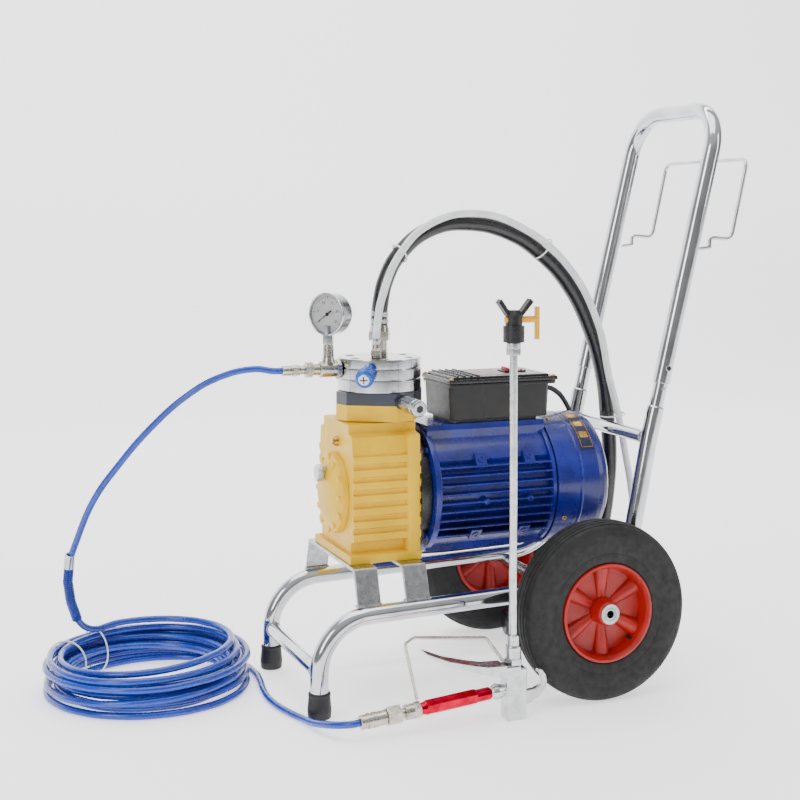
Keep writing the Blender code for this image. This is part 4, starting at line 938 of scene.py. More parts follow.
for side, sign in SIDES.items():
    body, hub = "wheel_" + side, at(AXLE_X, sign * WHEEL_Y, WHEEL_R)
    outline = TYRE_HALF + [(r, -h) for r, h in reversed(TYRE_HALF)]
    ring = turned(eased(outline, 0.0006, True), 112)
    keep("tyre_%s_skin" % side, moved(ring, hub, Y_AXIS * sign), tyre_rubber, body, "tyre_" + side)
    barrel = turned(eased(RIM_PROFILE, 0.0014, True), 96)
    whole = gathered([barrel, round_about(spoke(), 6, 0.0)])
    keep("rim_%s_skin" % side, moved(whole, hub, Y_AXIS * sign, Z_AXIS), rim_plastic, body, "rim_" + side)
    bush = moved(collar(0.0055, 0.0086, 0.0000, 0.0012, 0.0004, 40), at(AXLE_X, sign * 0.2183, WHEEL_R),
                 Y_AXIS * sign)
    washer = moved(collar(0.0090, 0.0142, 0.0, 0.0010, 0.0003, 40), at(AXLE_X, sign * 0.2188, WHEEL_R),
                   Y_AXIS * sign)
    keep("axle_end_" + side, gathered([bush, washer]), zinc_steel)
    stem = rod([(0.0130, 0.0022), (0.0120, 0.0026), (0.0060, 0.0026), (0.0050, 0.0034), (0.0, 0.0036)],
               0.0004, 16)
    keep("valve_stem_" + side, moved(stem, hub + Vector((0.0440, sign * 0.0030, -0.0440)), Y_AXIS * sign),
         foot_rubber, body)
print("wheels")


# %% [markdown]
# ## Motor
# The motor's frame is one aluminium casting with fins along its flanks, so it is one section pulled
# along the shaft. Its upper flanks are smooth and carry the machined pads where feet or a terminal
# box can be screwed on. The fan cover behind is pressed steel: a turned shell with a beaded seam
# and radial slots, drawn as black strips on the shell that are painted shade where the openings are.

# %% Motor frame
MOTOR_R, FIN_ROOT, FIN_PITCH, FIN_HALF = 0.0970, 0.0850, 0.0125, 0.0015
FIN_TOP, FIN_COUNT = 0.0385, 9


def motor_section():
    """Half the section in (y, z) from the top to the bottom of one flank, then mirrored."""
    flank = [(0.0505, 0.0965), (0.0530, 0.0885)]
    for degrees in (56, 50, 44, 38, 32):
        a = math.radians(degrees)
        flank.append(((MOTOR_R - 0.0055) * math.cos(a), (MOTOR_R - 0.0055) * math.sin(a)))
    for i in range(FIN_COUNT):
        level = FIN_TOP - i * FIN_PITCH
        tip = math.sqrt((MOTOR_R - 0.0006) ** 2 - level ** 2)
        root_up = math.sqrt(FIN_ROOT ** 2 - (level + FIN_HALF) ** 2)
        root_down = math.sqrt(FIN_ROOT ** 2 - (level - FIN_HALF) ** 2)
        flank += [(root_up, level + FIN_HALF + 0.0008), (tip - 0.0010, level + FIN_HALF), (tip, level),
                  (tip - 0.0010, level - FIN_HALF), (root_down, level - FIN_HALF - 0.0008)]
    for degrees in (-46, -52, -57):
        a = math.radians(degrees)
        flank.append(((MOTOR_R - 0.0050) * math.cos(a), (MOTOR_R - 0.0050) * math.sin(a)))
    flank.append((0.0480, -0.0880))
    return flank + [(-y, z) for y, z in reversed(flank)]


def on_flank(x, z, out=0.0):
    """A place on the near flank of the motor and the way it faces."""
    level = z - SHAFT_Z
    facing = Vector((0, -math.sqrt(MOTOR_R ** 2 - level ** 2), level)).normalized()
    return at(x, 0, SHAFT_Z) + facing * (MOTOR_R - 0.0035 + out), facing


def motor_frame():
    parts = [moved(slab(motor_section(), 0.0005, 0.1890, 0.0007), at(0, 0, SHAFT_Z), X_AXIS, Y_AXIS)]
    for low, high in ((-0.0019, 0.0075), (0.1825, 0.1898)):
        parts.append(moved(collar(0.0800, 0.0962, low, high, 0.0015, 80), at(0, 0, SHAFT_Z), X_AXIS))
    pads = [(0.072, 0.333, 0.0085), (0.149, 0.333, 0.0085), (0.068, 0.2205, 0.0085), (0.145, 0.2205, 0.0085)]
    for x, z, half in pads:
        for mirror in (1, -1):
            place, facing = on_flank(x, z)
            facing = Vector((0, facing.y * mirror, facing.z))
            place = Vector((place.x, CART.y + (place.y - CART.y) * mirror, place.z))
            parts.append(moved(block((-half, -half * 1.25, -0.010), (half, half * 1.25, 0.0030), 0.0008),
                               place, facing, X_AXIS))
            parts.append(moved(collar(0.0026, 0.0052, 0.0028, 0.0042, 0.0004, 24), place, facing))
    for x, z in ((0.077, 0.272), (0.146, 0.272)):
        place, facing = on_flank(x, z)
        boss = rod([(0.0032, 0.0022), (0.0026, 0.0044), (-0.010, 0.0050)], 0.0005, 16)
        parts.append(moved(boss, place, facing))
    return gathered(parts)


keep("motor_frame", motor_frame(), blue_enamel, "cart", "motor_body")


def pad_screws():
    """Screws in the pads, and the through-bolts of the front bell."""
    parts = []
    for x, z in ((0.072, 0.333), (0.149, 0.333), (0.068, 0.2205), (0.145, 0.2205)):
        place, facing = on_flank(x, z)
        parts.append(moved(nut(0.0042, 0.0022, 0.0036), place, facing))
    ring = round_about(nut(0.0080, 0.0, 0.0045), 4, 0.0880, 45)
    parts.append(moved(ring, at(-0.0020, 0, SHAFT_Z), -X_AXIS))
    return gathered(parts)


keep("motor_screws", pad_screws(), blue_enamel)
print("motor frame with", FIN_COUNT, "fins a side")

# %% Fan cover, its slots, screws and rating plate
COVER_R, COVER_X = 0.0985, (0.1903, 0.2820)
cover_outer = [(0.0300, COVER_X[1] - 0.0010), (0.0740, COVER_X[1]), (0.0850, COVER_X[1] - 0.0022),
               (0.0935, COVER_X[1] - 0.0085), (0.0972, COVER_X[1] - 0.0160), (COVER_R, COVER_X[1] - 0.0240),
               (COVER_R, 0.2318), (COVER_R + 0.0008, 0.2305), (COVER_R + 0.0008, 0.2275), (COVER_R, 0.2262),
               (COVER_R, COVER_X[0] + 0.0010), (COVER_R - 0.0002, COVER_X[0])]
cover_inner = [(COVER_R - 0.0020, COVER_X[0]), (COVER_R - 0.0020, COVER_X[1] - 0.0230),
               (0.0910, COVER_X[1] - 0.0100), (0.0740, COVER_X[1] - 0.0022), (0.0300, COVER_X[1] - 0.0030)]
shell = turned(eased(cover_outer + cover_inner, 0.0008, True), 112)
bars = round_about(block((0.0, -0.0016, 0.2788), (0.0310, 0.0016, 0.2806), 0.0004), 8, 0.0)
middle_disc = rod([(0.2810, 0.0100), (0.2790, 0.0100)], 0.0005, 32)
keep("fan_cover_skin", moved(gathered([shell, bars, middle_disc]), at(0, 0, SHAFT_Z), X_AXIS), blue_enamel,
     "cart", "fan_cover")
# The slots are not cut through: black strips laid on the shell are painted shade where the openings are.
slots = [round_about(block((0.0, -0.0019, 0.2816), (0.0130, 0.0019, 0.2823), 0.0003), count, radius, shift)
         for count, radius, shift in ((20, 0.0360, 0), (28, 0.0520, 6))]
keep("fan_cover_slots", moved(gathered(slots), at(0, 0, SHAFT_Z), X_AXIS), ink_and_shade_black)


def round_shaft(x, degrees, radius):
    """A place at a turn about the shaft, 0 up and 90 to the near side, and the way it faces."""
    a = math.radians(degrees)
    facing = Vector((0, -math.sin(a), math.cos(a)))
    return at(x, 0, SHAFT_Z) + facing * radius, facing


def screw(radius, high):
    """A domed cross-head screw along Z with its cross cut as two dark bars' worth of relief."""
    head = rod([(high, radius * 0.45), (high * 0.8, radius * 0.8), (high * 0.3, radius), (-0.001, radius)],
               high * 0.3, 24)
    cross = [block((-radius * a, -radius * b, high * 0.9), (radius * a, radius * b, high * 1.06), 0.0001)
             for a, b in ((0.55, 0.12), (0.12, 0.55))]
    return gathered([head, *cross])


cover_screws = []
for degrees in (118, 242, 20, 340):
    place, facing = round_shaft(0.2050, degrees, COVER_R)
    cover_screws.append(moved(screw(0.0034, 0.0022), place, facing))
keep("fan_cover_screws", gathered(cover_screws), brass)


def bent_plate(low_deg, high_deg, x_low, x_high, radius, thickness):
    """A thin plate bent round the cover."""
    bm = bmesh.new()
    rows = []
    for i in range(15):
        degrees = low_deg + (high_deg - low_deg) * i / 14
        inner, outer = [], []
        for x in (x_low, x_high):
            inner.append(bm.verts.new(round_shaft(x, degrees, radius)[0]))
            outer.append(bm.verts.new(round_shaft(x, degrees, radius + thickness)[0]))
        rows.append((inner[0], inner[1], outer[1], outer[0]))
    for a, b in zip(rows, rows[1:]):
        for k in range(4):
            bm.faces.new((a[k], a[(k + 1) % 4], b[(k + 1) % 4], b[k]))
    bm.faces.new(rows[0][::-1])
    bm.faces.new(rows[-1])
    bmesh.ops.recalc_face_normals(bm, faces=bm.faces)
    return bm


keep("rating_plate", bent_plate(6, 58, 0.2350, 0.2570, COVER_R + 0.0001, 0.0005), motor_label)
frame_lines = [bent_plate(8, 56, 0.2362, 0.2370, COVER_R + 0.0005, 0.0003),
               bent_plate(8, 56, 0.2550, 0.2558, COVER_R + 0.0005, 0.0003),
               bent_plate(8, 8.6, 0.2362, 0.2558, COVER_R + 0.0005, 0.0003),
               bent_plate(55.4, 56, 0.2362, 0.2558, COVER_R + 0.0005, 0.0003)]
frame_lines += [bent_plate(a, a + 6.5, 0.2395, 0.2525, COVER_R + 0.0005, 0.0003) for a in (14, 27, 40)]
keep("rating_plate_border", gathered(frame_lines), brass)
print("fan cover")

# %% [markdown]
# ## Control box
#
# A black plastic box sits on a pad over the motor. Its walls draw in a little towards the base, with
# a shallow panel in each long side, and its lid overhangs them. The lid carries moulded ribs, a
# plain coloured label, four brass screws and the rocker switch in its bezel.

# %% Control box
BOX_X, BOX_Y, BOX_Z = (0.0375, 0.1990), 0.053, (0.3850, 0.4380)
LID_X, LID_Y, LID_Z = (0.0355, 0.2105), 0.055, (0.4383, 0.4480)


def tapered(bm, low_z, high_z, centre, draw):
    """Draws the lower end of an upright piece in, as a mould needs."""
    for vert in bm.verts:
        share = 1 - draw * max(0.0, (high_z - vert.co.z) / (high_z - low_z))
        vert.co.x = centre.x + (vert.co.x - centre.x) * share
        vert.co.y = centre.y + (vert.co.y - centre.y) * share
    return bm


def control_box():
    (x0, x1), (z0, z1) = BOX_X, BOX_Z
    chamfer = 0.006
    outline = [(x0 + chamfer, -BOX_Y), (x0 + 0.052, -BOX_Y), (x0 + 0.054, -BOX_Y + 0.0018),
               (x1 - 0.054, -BOX_Y + 0.0018), (x1 - 0.052, -BOX_Y), (x1 - chamfer, -BOX_Y),
               (x1, -BOX_Y + chamfer)]
    outline += [(x, -y) for x, y in reversed(outline)]
    outline += [(x0, BOX_Y - chamfer), (x0, -BOX_Y + chamfer)]
    wall = slab(outline, z0, z1, 0.0012)
    pad = block((x0 + 0.012, -0.046, 0.3790), (x1 - 0.020, 0.046, z0 + 0.001), 0.0015)
    rim_band = block((x0 - 0.0005, -BOX_Y - 0.0006, z1 - 0.005),
                     (x1 + 0.0006, BOX_Y + 0.0006, z1 - 0.0005), 0.0008)
    whole = gathered([tapered(wall, z0, z1, Vector(((x0 + x1) / 2, 0, 0)), 0.03), pad, rim_band])
    return moved(whole, CART)


def box_lid():
    (x0, x1), (z0, z1) = LID_X, LID_Z
    plate = block((x0, -LID_Y, z0), (x1, LID_Y, z1 - 0.0035), 0.0016)
    crown = block((x0 + 0.007, -LID_Y + 0.005, z1 - 0.006), (x1 - 0.012, LID_Y - 0.005, z1), 0.0022)
    ribs = [block((x0 + 0.014 + 0.011 * i, -LID_Y + 0.004, z1 - 0.0010),
                  (x0 + 0.0162 + 0.011 * i, LID_Y - 0.004, z1 + 0.0022), 0.0006) for i in range(4)]
    end_ribs = [block((x1 - 0.010, y - 0.004, z0 - 0.006), (x1 - 0.001, y + 0.004, z1 - 0.004), 0.0010)
                for y in (-0.045, 0.045)]
    bezel = [block((0.1425, -0.0140, z1 - 0.0005), (0.1455, 0.0140, z1 + 0.0020), 0.0006),
             block((0.1745, -0.0140, z1 - 0.0005), (0.1775, 0.0140, z1 + 0.0020), 0.0006),
             block((0.1425, -0.0140, z1 - 0.0005), (0.1775, -0.0112, z1 + 0.0020), 0.0006),
             block((0.1425, 0.0112, z1 - 0.0005), (0.1775, 0.0140, z1 + 0.0020), 0.0006)]
    return moved(gathered([plate, crown, *ribs, *end_ribs, *bezel]), CART)


keep("control_box_skin", control_box(), box_plastic, "cart", "control_box")
keep("box_lid_skin", box_lid(), lid_plastic, "cart", "box_lid")
label = block((0.0860, -0.0380, LID_Z[1] - 0.0002), (0.1370, 0.0380, LID_Z[1] + 0.0004), 0.0002)
keep("lid_label", moved(label, CART), lid_label)
lid_screws = [moved(screw(0.0036, 0.0020), at(x, y, LID_Z[1] - 0.0035))
              for x in (LID_X[0] + 0.0042, LID_X[1] - 0.0060) for y in (-LID_Y + 0.0040, LID_Y - 0.0040)]
keep("lid_screws", gathered(lid_screws), brass)
softened("rocker_switch", 0.0008, switch_red, 3)
gland_ribs = [collar(0.0048, 0.0072 - 0.0004 * i, 0.0090 + 0.0032 * i, 0.0106 + 0.0032 * i, 0.0004, 32)
              for i in range(4)]
gland = gathered([nut(0.0185, 0.0003, 0.0062), rod([(0.0218, 0.0050), (0.0060, 0.0062)], 0.0006, 32),
                  *gland_ribs])
keep("cable_gland_skin", moved(gland, at(BOX_X[1], 0.020, 0.4180), X_AXIS), acetal_black, "cart",
     "cable_gland")
print("control box")


# %% [markdown]
# ## Pump
#
# The pump is a cast housing with a cover over its eccentric, then a collar, then a stack of polished
# steel discs. The castings keep the shape of their solids with rounded edges. The stack, the knobs
# and the fittings are turned, and their bolts and hexagons are stamped round them.

# %% Housing, cover and collar
softened("pump_housing", 0.0018, yellow_coat, 3)
softened("housing_cover", 0.0012, yellow_coat, 3)
softened("head_collar", 0.0010, navy_enamel, 3)
softened("oil_plug", 0.0006, machined_steel)
softened("motor_adapter", 0.0015, acetal_black)

COVER_FACE = at(-0.1200, 0, SHAFT_Z)
gussets = round_about(block((0.0, -0.0035, 0.0060), (0.0240, 0.0035, 0.0140), 0.0012), 6, 0.0290, 30)
cover_bolts = round_about(nut(0.0090, 0.0080, 0.0128), 6, 0.0525, 0)
keep("cover_ribs", moved(gathered([gussets, cover_bolts]), COVER_FACE, -X_AXIS), yellow_coat)
bronze = gathered([rod([(0.0070, 0.0062), (-0.0020, 0.0078)], 0.0008, 24), nut(0.0085, 0.0065, 0.0095)])
keep("vent_plug", moved(bronze, at(-0.1195, -0.008, 0.359), -X_AXIS), brass)

flange_bolts = [moved(rod([(0.0030, 0.0032), (0.0022, 0.0042), (-0.0015, 0.0042)], 0.0008, 20),
                      at(-0.0530 + 0.0510 * math.sin(math.radians(a)), -0.0510 * math.cos(math.radians(a)),
                         0.4128), Z_AXIS) for a in (-31, 59, 149, 239)]
keep("flange_bolts", gathered(flange_bolts), machined_steel)

# %% Polished head and its bolts
HEAD_R, HEAD_LOW = 0.0605, 0.4308
stack = [(0.0, HEAD_TOP_Z), (HEAD_R, HEAD_TOP_Z)]
for groove in (0.4645, 0.4485):
    stack += [(HEAD_R, groove + 0.0010), (HEAD_R - 0.0018, groove + 0.0006),
              (HEAD_R - 0.0018, groove - 0.0006), (HEAD_R, groove - 0.0010)]
stack += [(HEAD_R, HEAD_LOW), (0.0425, HEAD_LOW), (0.0425, HEAD_LOW + 0.0075), (0.0, HEAD_LOW + 0.0075)]
keep("pump_head_skin", moved(turned(eased(stack, 0.0012), 128), at(HEAD_X, 0, 0)), polished_steel, "cart",
     "pump_head")
BOLTS, BOLT_CIRCLE_R, FIRST_BOLT_DEG = 6, 0.0460, 20


def round_head(stamp):
    """One of a stamp at each bolt of the head."""
    return round_about(stamp, BOLTS, BOLT_CIRCLE_R, FIRST_BOLT_DEG)


# The bolt wells are not cut: a black disc round each bolt on the head's top is painted shade where the well
# is.
wells = round_head(rod([(HEAD_TOP_Z + 0.0002, 0.0062), (HEAD_TOP_Z - 0.002, 0.0062)], 0.0001, 28))
keep("head_bolt_wells", moved(wells, at(HEAD_X, 0, 0)), ink_and_shade_black)
caps = round_head(collar(0.0022, 0.0043, HEAD_TOP_Z - 0.001, HEAD_TOP_Z + 0.0010, 0.0005, 28))
rings = round_head(collar(0.0060, 0.0068, HEAD_TOP_Z - 0.001, HEAD_TOP_Z + 0.0004, 0.0002, 28))
keep("head_bolts", moved(gathered([caps, rings]), at(HEAD_X, 0, 0)), polished_steel)


# %% Pressure and prime knobs
def beside_head(facing, reach, z):
    flat = Vector((facing[0], facing[1], 0)).normalized() * reach
    return at(HEAD_X, 0, z) + flat


knob_axis = Vector((0.15, -0.983, -0.100)).normalized()
knob_place = beside_head(knob_axis, 0.0690, 0.4185)
barrel = rod([(0.0480, 0.0098), (0.0468, 0.0116), (0.0395, 0.0116), (0.0388, 0.0108), (0.0375, 0.0108),
              (0.0368, 0.0116), (0.0120, 0.0116), (0.0105, 0.0098), (0.0, 0.0090)], 0.0006, 48)
keep("pressure_knob_skin", moved(barrel, knob_place, knob_axis), machined_steel, "pressure_control",
     "pressure_knob")
# The socket in the knob's end is not cut: a thin black hexagon on the end is painted shade where the socket
# is.
keep("pressure_knob_socket", moved(nut(0.0100, 0.0476, 0.0483), knob_place, knob_axis), ink_and_shade_black,
     "pressure_control")
keep("pressure_port", moved(rod([(-0.0006, 0.0112), (-0.0140, 0.0118)], 0.0010, 40), knob_place, knob_axis),
     navy_enamel)

prime_axis = Vector((-0.515, -0.800, -0.310)).normalized()
prime_place = beside_head(prime_axis, 0.0640, 0.4655)
grip_ribs = round_about(block((0.0, -0.0009, 0.0195), (0.0012, 0.0009, 0.0345), 0.0004), 20, 0.0120)
prime = rod([(0.0370, 0.0105), (0.0358, 0.0126), (0.0185, 0.0126), (0.0170, 0.0088), (0.0, 0.0085)],
            0.0010, 48)
keep("prime_knob_skin", moved(gathered([prime, grip_ribs]), prime_place, prime_axis), knob_blue,
     "prime_control", "prime_knob")
keep("prime_knob_face", moved(rod([(0.0378, 0.0078), (0.0366, 0.0084)], 0.0003, 36), prime_place, prime_axis),
     polished_steel, "prime_control")
cross = [block((-0.0060, -0.0009, 0.0375), (0.0060, 0.0009, 0.0381), 0.0002),
         block((-0.0009, -0.0060, 0.0375), (0.0009, 0.0060, 0.0381), 0.0002)]
keep("prime_knob_cross", moved(gathered(cross), prime_place, prime_axis), ink_and_shade_black, "prime_control")
print("head and knobs")

# %% Outlet tee with its nuts and hose ferrule
outlet_bits = [
    nut(0.0255, 0.1138, 0.1200), rod([(0.1560, 0.0082), (0.1195, 0.0082)], 0.0008, 36),
    rod([(0.1455, 0.0105), (0.1430, 0.0118), (0.1190, 0.0118), (0.1170, 0.0100)], 0.0016, 36),
    nut(0.0190, 0.1550, 0.1665), rod([(0.1745, 0.0060), (0.1660, 0.0060)], 0.0004, 28),
    nut(0.0150, 0.1775, 0.1850), rod([(0.2005, 0.0066), (0.1995, 0.0074), (0.1740, 0.0074), (0.1735, 0.0066)],
                                     0.0006, 36),
]
whole = moved(gathered(outlet_bits), at(0, 0, OUTLET_Z), -X_AXIS)
branch = moved(rod([(0.4970, 0.0074), (0.4800, 0.0080), (0.4720, 0.0100), (0.4625, 0.0112)], 0.0014, 36),
               at(-0.1310, 0, 0))
keep("outlet_tee_skin", gathered([whole, branch]), nickel_brass, "cart", "outlet_tee")

# %% [markdown]
# ## Gauge
#
# The gauge is 63 mm across, with a white dial, fifty small divisions and numbers in fives. It is
# drawn with its face along Z and up along +X, then turned to face as the real one does.

# %% Gauge
GAUGE = at(-0.1310, 0, 0.5415)
GAUGE_FACE = Vector((-0.817, -0.576, 0)).normalized()
ZERO_DEG, SWEEP_DEG = 125, 250


def on_gauge(bm):
    return moved(bm, GAUGE, GAUGE_FACE, Z_AXIS)


case = [(0.0, -0.0210), (0.0255, -0.0210), (0.0290, -0.0190), (0.0300, -0.0150), (0.0300, 0.0000),
        (0.0313, 0.0008), (0.0313, 0.0052), (0.0300, 0.0062), (0.0285, 0.0060), (0.0283, 0.0002),
        (0.0, 0.0002)]
gauge_body = on_gauge(turned(eased(case, 0.0008), 96))
stem = moved(gathered([nut(0.0145, 0.4975, 0.5110), rod([(0.5250, 0.0060), (0.5105, 0.0060)], 0.0006, 28)]),
             at(-0.1310, 0, 0))
keep("gauge_case_skin", gathered([gauge_body, stem]), polished_steel, "cart", "gauge_case")
keep("gauge_dial", on_gauge(rod([(0.0010, 0.0281), (0.0003, 0.0281)], 0.0001, 72)), dial_white)


def number(value, size, place):
    """A number as flat raised figures, upright, with its middle at a place on the dial."""
    curve = bpy.data.curves.new("figure", "FONT")
    curve.body, curve.size, curve.extrude = str(value), size, 0.0001
    curve.align_x, curve.align_y = "CENTER", "CENTER"
    obj = bpy.data.objects.new("figure", curve)
    bpy.context.scene.collection.objects.link(obj)
    mesh = bpy.data.meshes.new_from_object(obj.evaluated_get(bpy.context.evaluated_depsgraph_get()))
    bm = bmesh.new()
    bm.from_mesh(mesh)
    bpy.data.objects.remove(obj)
    bpy.data.curves.remove(curve)
    bpy.data.meshes.remove(mesh)
    upright = Matrix.Translation((place[0], place[1], 0.0012)) @ Matrix.Rotation(-math.pi / 2, 4, "Z")
    bm.transform(upright)
    return bm


SMALL_MARKS, LONG_MARKS = 51, 6
marks = [round_about(block((0, -half, 0.0009), (reach, half, 0.0012), 0), count, radius, -ZERO_DEG, SWEEP_DEG)
         for half, reach, count, radius in ((0.00014, 0.0022, SMALL_MARKS, 0.0240),
                                            (0.00030, 0.0042, LONG_MARKS, 0.0220))]
for step in range(LONG_MARKS):
    a = math.radians(ZERO_DEG - SWEEP_DEG * step / 5)
    marks.append(number(step * 5, 0.0052, (0.0178 * math.cos(a), 0.0178 * math.sin(a))))
keep("gauge_marks", on_gauge(gathered(marks)), ink_and_shade_black)
hand = slab([(-0.0090, 0.0013), (-0.0090, -0.0013), (0.0, -0.0008), (0.0225, -0.0002), (0.0225, 0.0002),
             (0.0, 0.0008)], 0.0026, 0.0032, 0)
hub = rod([(0.0040, 0.0018), (0.0034, 0.0026), (0.0022, 0.0026)], 0.0003, 28)
hand.transform(Matrix.Rotation(math.radians(ZERO_DEG), 4, "Z"))
keep("gauge_needle_skin", on_gauge(gathered([hand, hub])), ink_and_shade_black, "needle", "gauge_needle")
keep("gauge_lens", on_gauge(rod([(0.0053, 0.0281), (0.0047, 0.0281)], 0.0002, 72)), window_clear)
print("gauge")

# %% Fittings on top, clamps and ties
suction = [nut(0.0230, 0.4783, 0.4880), rod([(0.5030, 0.0112), (0.4870, 0.0112)], 0.0006, 36),
           nut(0.0290, 0.5020, 0.5145), rod([(0.5243, 0.0128), (0.5140, 0.0145)], 0.0010, 40)]
keep("suction_fitting_skin", moved(gathered(suction), at(-0.0530, 0, 0)), nickel_brass, "cart",
     "suction_fitting")
back = [nut(0.0135, 0.4783, 0.4890), rod([(0.4975, 0.0062), (0.4930, 0.0068), (0.4885, 0.0066)], 0.0006, 28)]
keep("return_fitting_skin", moved(gathered(back), at(-0.0660, -0.0230, 0)), nickel_brass, "cart",
     "return_fitting")


def band(place, axis, radius, width, thick=0.0010):
    return moved(collar(radius, radius + thick, -width / 2, width / 2, 0.0003, 40), at(*place), axis)


clamps = [band((-0.0530, 0, 0.5300), Z_AXIS, SUCTION_R, 0.0070),
          band((-0.0528, 0, 0.5400), (0.1, 0, 1), SUCTION_R, 0.0070),
          band((-0.0660, -0.0230, 0.5040), Z_AXIS, RETURN_R, 0.0050)]
screws = [moved(rod([(0.0080, 0.0026), (-0.0080, 0.0026)], 0.0004, 18), at(-0.0530, -0.0145, z), X_AXIS)
          for z in (0.5300, 0.5400)]
keep("hose_clamps", gathered([*clamps, *screws]), polished_steel)


def tie(a, b, along):
    """A cable tie round two hoses whose middles are a and b."""
    a, b, along = at(*a), at(*b), Vector(along).normalized()
    middle, across = (a + b) / 2, (a - b).normalized()
    over = along.cross(across).normalized()
    wide, tall = (a - b).length / 2 + 0.0105, SUCTION_R + 0.0022
    ring = [middle + across * wide * math.cos(t) + over * tall * math.sin(t)
            for t in (math.tau * i / 36 for i in range(37))]
    head = moved(block((-0.0025, -0.0030, -0.0025), (0.0025, 0.0030, 0.0025), 0.0008),
                 middle + over * tall, over)
    return gathered([swept(ring, 0.0013, 8), head])


ties = [tie((-0.0220, 0.003, 0.6248), (-0.0252, -0.018, 0.6305), (0.8, 0, 0.6)),
        tie((0.2180, 0.026, 0.6268), (0.2230, 0.006, 0.6370), (0.85, 0, -0.5)),
        tie((0.3580, 0.060, 0.3638), (0.3660, 0.037, 0.3658), (0.2, 0, -1))]
for degrees in (118, 150):
    a = math.radians(degrees)
    place = at(HOSE_CENTRE[0] + 0.1250 * math.cos(a), HOSE_CENTRE[1] + 0.1250 * math.sin(a), 0.0300)
    out = Vector((math.cos(a), math.sin(a), 0))
    ring = [place + out * 0.0300 * math.cos(t) + Z_AXIS * 0.0318 * math.sin(t)
            for t in (math.tau * i / 36 for i in range(37))]
    ring = [Vector((p.x, p.y, max(p.z, 0.0016))) for p in ring]
    ties.append(swept(ring, 0.0013, 8))
keep("cable_ties", gathered(ties), tie_white)

guard_path = [at(*p) for p in DROP if p[2] < 0.185]
keep("hose_spring", spring_on(guard_path, 0.0032, 0.0064, 0.0011), hose_blue)
sleeve_top, sleeve_axis = guard_path[0], (guard_path[1] - guard_path[0]).normalized()
keep("hose_sleeve", moved(collar(0.0051, 0.0076, -0.018, 0.004, 0.0008, 36), sleeve_top, sleeve_axis),
     polished_steel)
print("fittings, clamps, ties, spring")

# %% [markdown]
# ## Gun
#
# The gun stands on its handle end with its long lance straight up. Its forging, trigger and tip
# guard keep the shape of their solids, softened; the rest is turned, drawn or bent from wire.

# %% Gun
softened("gun_body", 0.0016, cast_chrome, 3)
softened("trigger", 0.0012, cast_chrome, 3)
softened("tip_guard", 0.0010, acetal_black, 3)
softened("spray_tip", 0.0007, key_yellow, 3)

lance = [nut(0.0225, 0.0722, 0.0840), rod([(0.1015, 0.0104), (0.0990, 0.0112), (0.0835, 0.0112)], 0.0010, 40),
         rod([(0.1157, 0.0080), (0.1145, 0.0090), (0.1012, 0.0090)], 0.0008, 36),
         rod([(0.4945, 0.0054), (0.1150, 0.0054)], 0.0004, 32),
         nut(0.0195, 0.4955, 0.5040), rod([(0.5127, 0.0092), (0.5115, 0.0100), (0.5035, 0.0100)], 0.0008, 40)]
keep("lance_skin", moved(gathered(lance), at(LANCE_X, GUN_Y, 0)), cast_chrome, "cart", "lance")

grip_start, grip_axis = at(0.0457, GUN_Y, 0.0409), Vector((-0.9964, 0, -0.0847)).normalized()
red = [rod([(0.0430, 0.0098), (0.0420, 0.0086), (0.0220, 0.0086), (0.0215, 0.0078)], 0.0008, 40),
       nut(0.0188, 0.0425, 0.1150), rod([(0.1230, 0.0078), (0.1165, 0.0086), (0.1145, 0.0096)], 0.0008, 40)]
keep("grip_skin", moved(gathered(red), grip_start, grip_axis), red_anodised, "cart", "grip")
steel = [nut(0.0205, 0.1235, 0.1330), rod([(0.1455, 0.0096), (0.1445, 0.0104), (0.1325, 0.0104)], 0.0008, 40),
         rod([(0.1515, 0.0060), (0.1450, 0.0060)], 0.0004, 28), nut(0.0225, 0.1510, 0.1705),
         rod([(0.2075, 0.0086), (0.2060, 0.0094), (0.1715, 0.0098), (0.1705, 0.0090)], 0.0008, 40),
         collar(0.0096, 0.0104, 0.1860, 0.1900, 0.0004, 36),
         collar(0.0096, 0.0104, 0.1940, 0.1980, 0.0004, 36)]
gun_fitting = keep("paint_hose_fitting_skin", moved(gathered(steel), grip_start, grip_axis), nickel_brass,
                   "cart", "paint_hose_fitting")
wire_path = line((0.0450, GUN_Y, 0.0800), (0.0182, GUN_Y, 0.1154), (-0.0860, GUN_Y, 0.1271),
                 (-0.0985, GUN_Y, 0.1200), (-0.0812, GUN_Y, 0.0440))
keep("trigger_guard_skin", swept(rounded_path(wire_path, (0.008, 0.008, 0.006), 8), 0.0022, 16), nickel_brass,
     "cart", "trigger_guard")
print("gun")

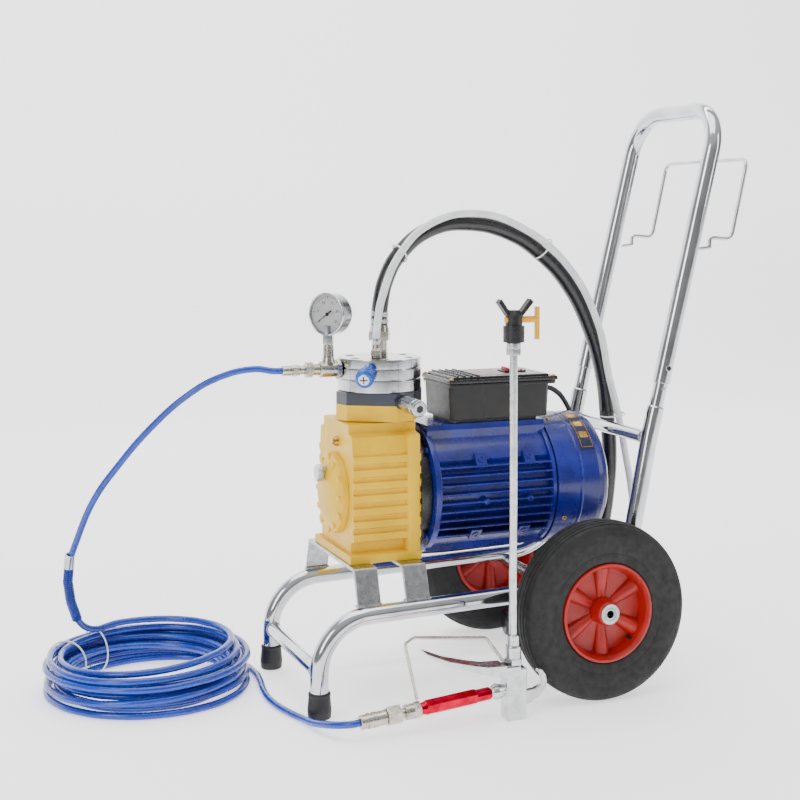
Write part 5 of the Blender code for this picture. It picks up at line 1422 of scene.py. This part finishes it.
# %% Strainer, deflector and plug
tip_a, tip_b = at(0.2637, 0.1181, 0.0278), at(0.2080, 0.1290, 0.0238)
strainer_axis, long = (tip_b - tip_a).normalized(), (tip_b - tip_a).length
strainer = [rod([(long, 0.0180), (long * 0.94, 0.0222), (long * 0.84, 0.0222), (long * 0.82, 0.0195),
                 (long * 0.20, 0.0195), (long * 0.18, 0.0222), (long * 0.12, 0.0222), (long * 0.10, 0.0140),
                 (0.0003, 0.0140)], 0.0008, 48),
            round_about(block((0, -0.0012, long * 0.16), (0.0032, 0.0012, long * 0.86), 0.0005), 18, 0.0190)]
strainer_piece = keep("suction_strainer_skin", moved(gathered(strainer), tip_a, strainer_axis), acetal_black,
                      "cart", "suction_strainer")
drip = rod([(0.0180, 0.0048), (0.0160, 0.0074), (0.0020, 0.0070), (0.0, 0.0060)], 0.0008, 32)
deflector_axis = at(*RETURN[-1]) - at(*RETURN[-2])
deflector = keep("return_deflector", moved(drip, at(*RETURN[-1]) - deflector_axis.normalized() * 0.004
                                           + Vector((0, 0, 0.0022)), (-1, -0.09, 0.0)), acetal_black)
plug_start = at(0.2700, -0.1085, 0.0200)
plug_body = [rod([(0.0170, 0.0100), (0.0010, 0.0056)], 0.0006, 32),
             *[collar(0.0050, 0.0066 + 0.0009 * i, 0.0028 + 0.0036 * i, 0.0044 + 0.0036 * i, 0.0004, 28)
               for i in range(4)],
             rod([(0.0500, 0.0180), (0.0488, 0.0190), (0.0230, 0.0185), (0.0180, 0.0130)], 0.0012, 40)]
mains_plug = keep("mains_plug_skin", moved(gathered(plug_body), plug_start, -X_AXIS), acetal_black, "cart",
                  "mains_plug")
pins = [moved(rod([(0.0680, 0.0018), (0.0670, 0.0024), (0.0490, 0.0024)], 0.0005, 20),
              plug_start + Vector((0, y, 0)), -X_AXIS) for y in (-0.0095, 0.0095)]
plug_pins = keep("mains_plug_pins", gathered(pins), brass)
print("strainer, deflector, plug")

# %% [markdown]
# ## Finish
#
# The pieces nobody sees from outside keep their solids and get a material of their own.

# %% Materials on the solids that stay
def paint(node, material):
    slots = nodes[node].data.materials
    slots.clear()
    slots.append(material)


STAYING = {
    "axle": machined_steel, "rotor_shaft": machined_steel, "shaft_bearing_front": machined_steel,
    "shaft_bearing_rear": machined_steel, "stator": copper_winding, "cooling_fan": acetal_black,
    "piston": polished_steel, "diaphragm": foot_rubber,
}
for node, material in STAYING.items():
    paint(node, material)

# %% Cords
for cord, shown in ((paint_hose, ("paint_hose_drop", "paint_hose_coil", "paint_hose_run")),
                    (suction_hose, ("suction_hose",)), (return_tube, ("return_tube",)),
                    (mains_cable, ("mains_cable", "mains_coil"))):
    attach(cord, "cart")
    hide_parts(*shown)
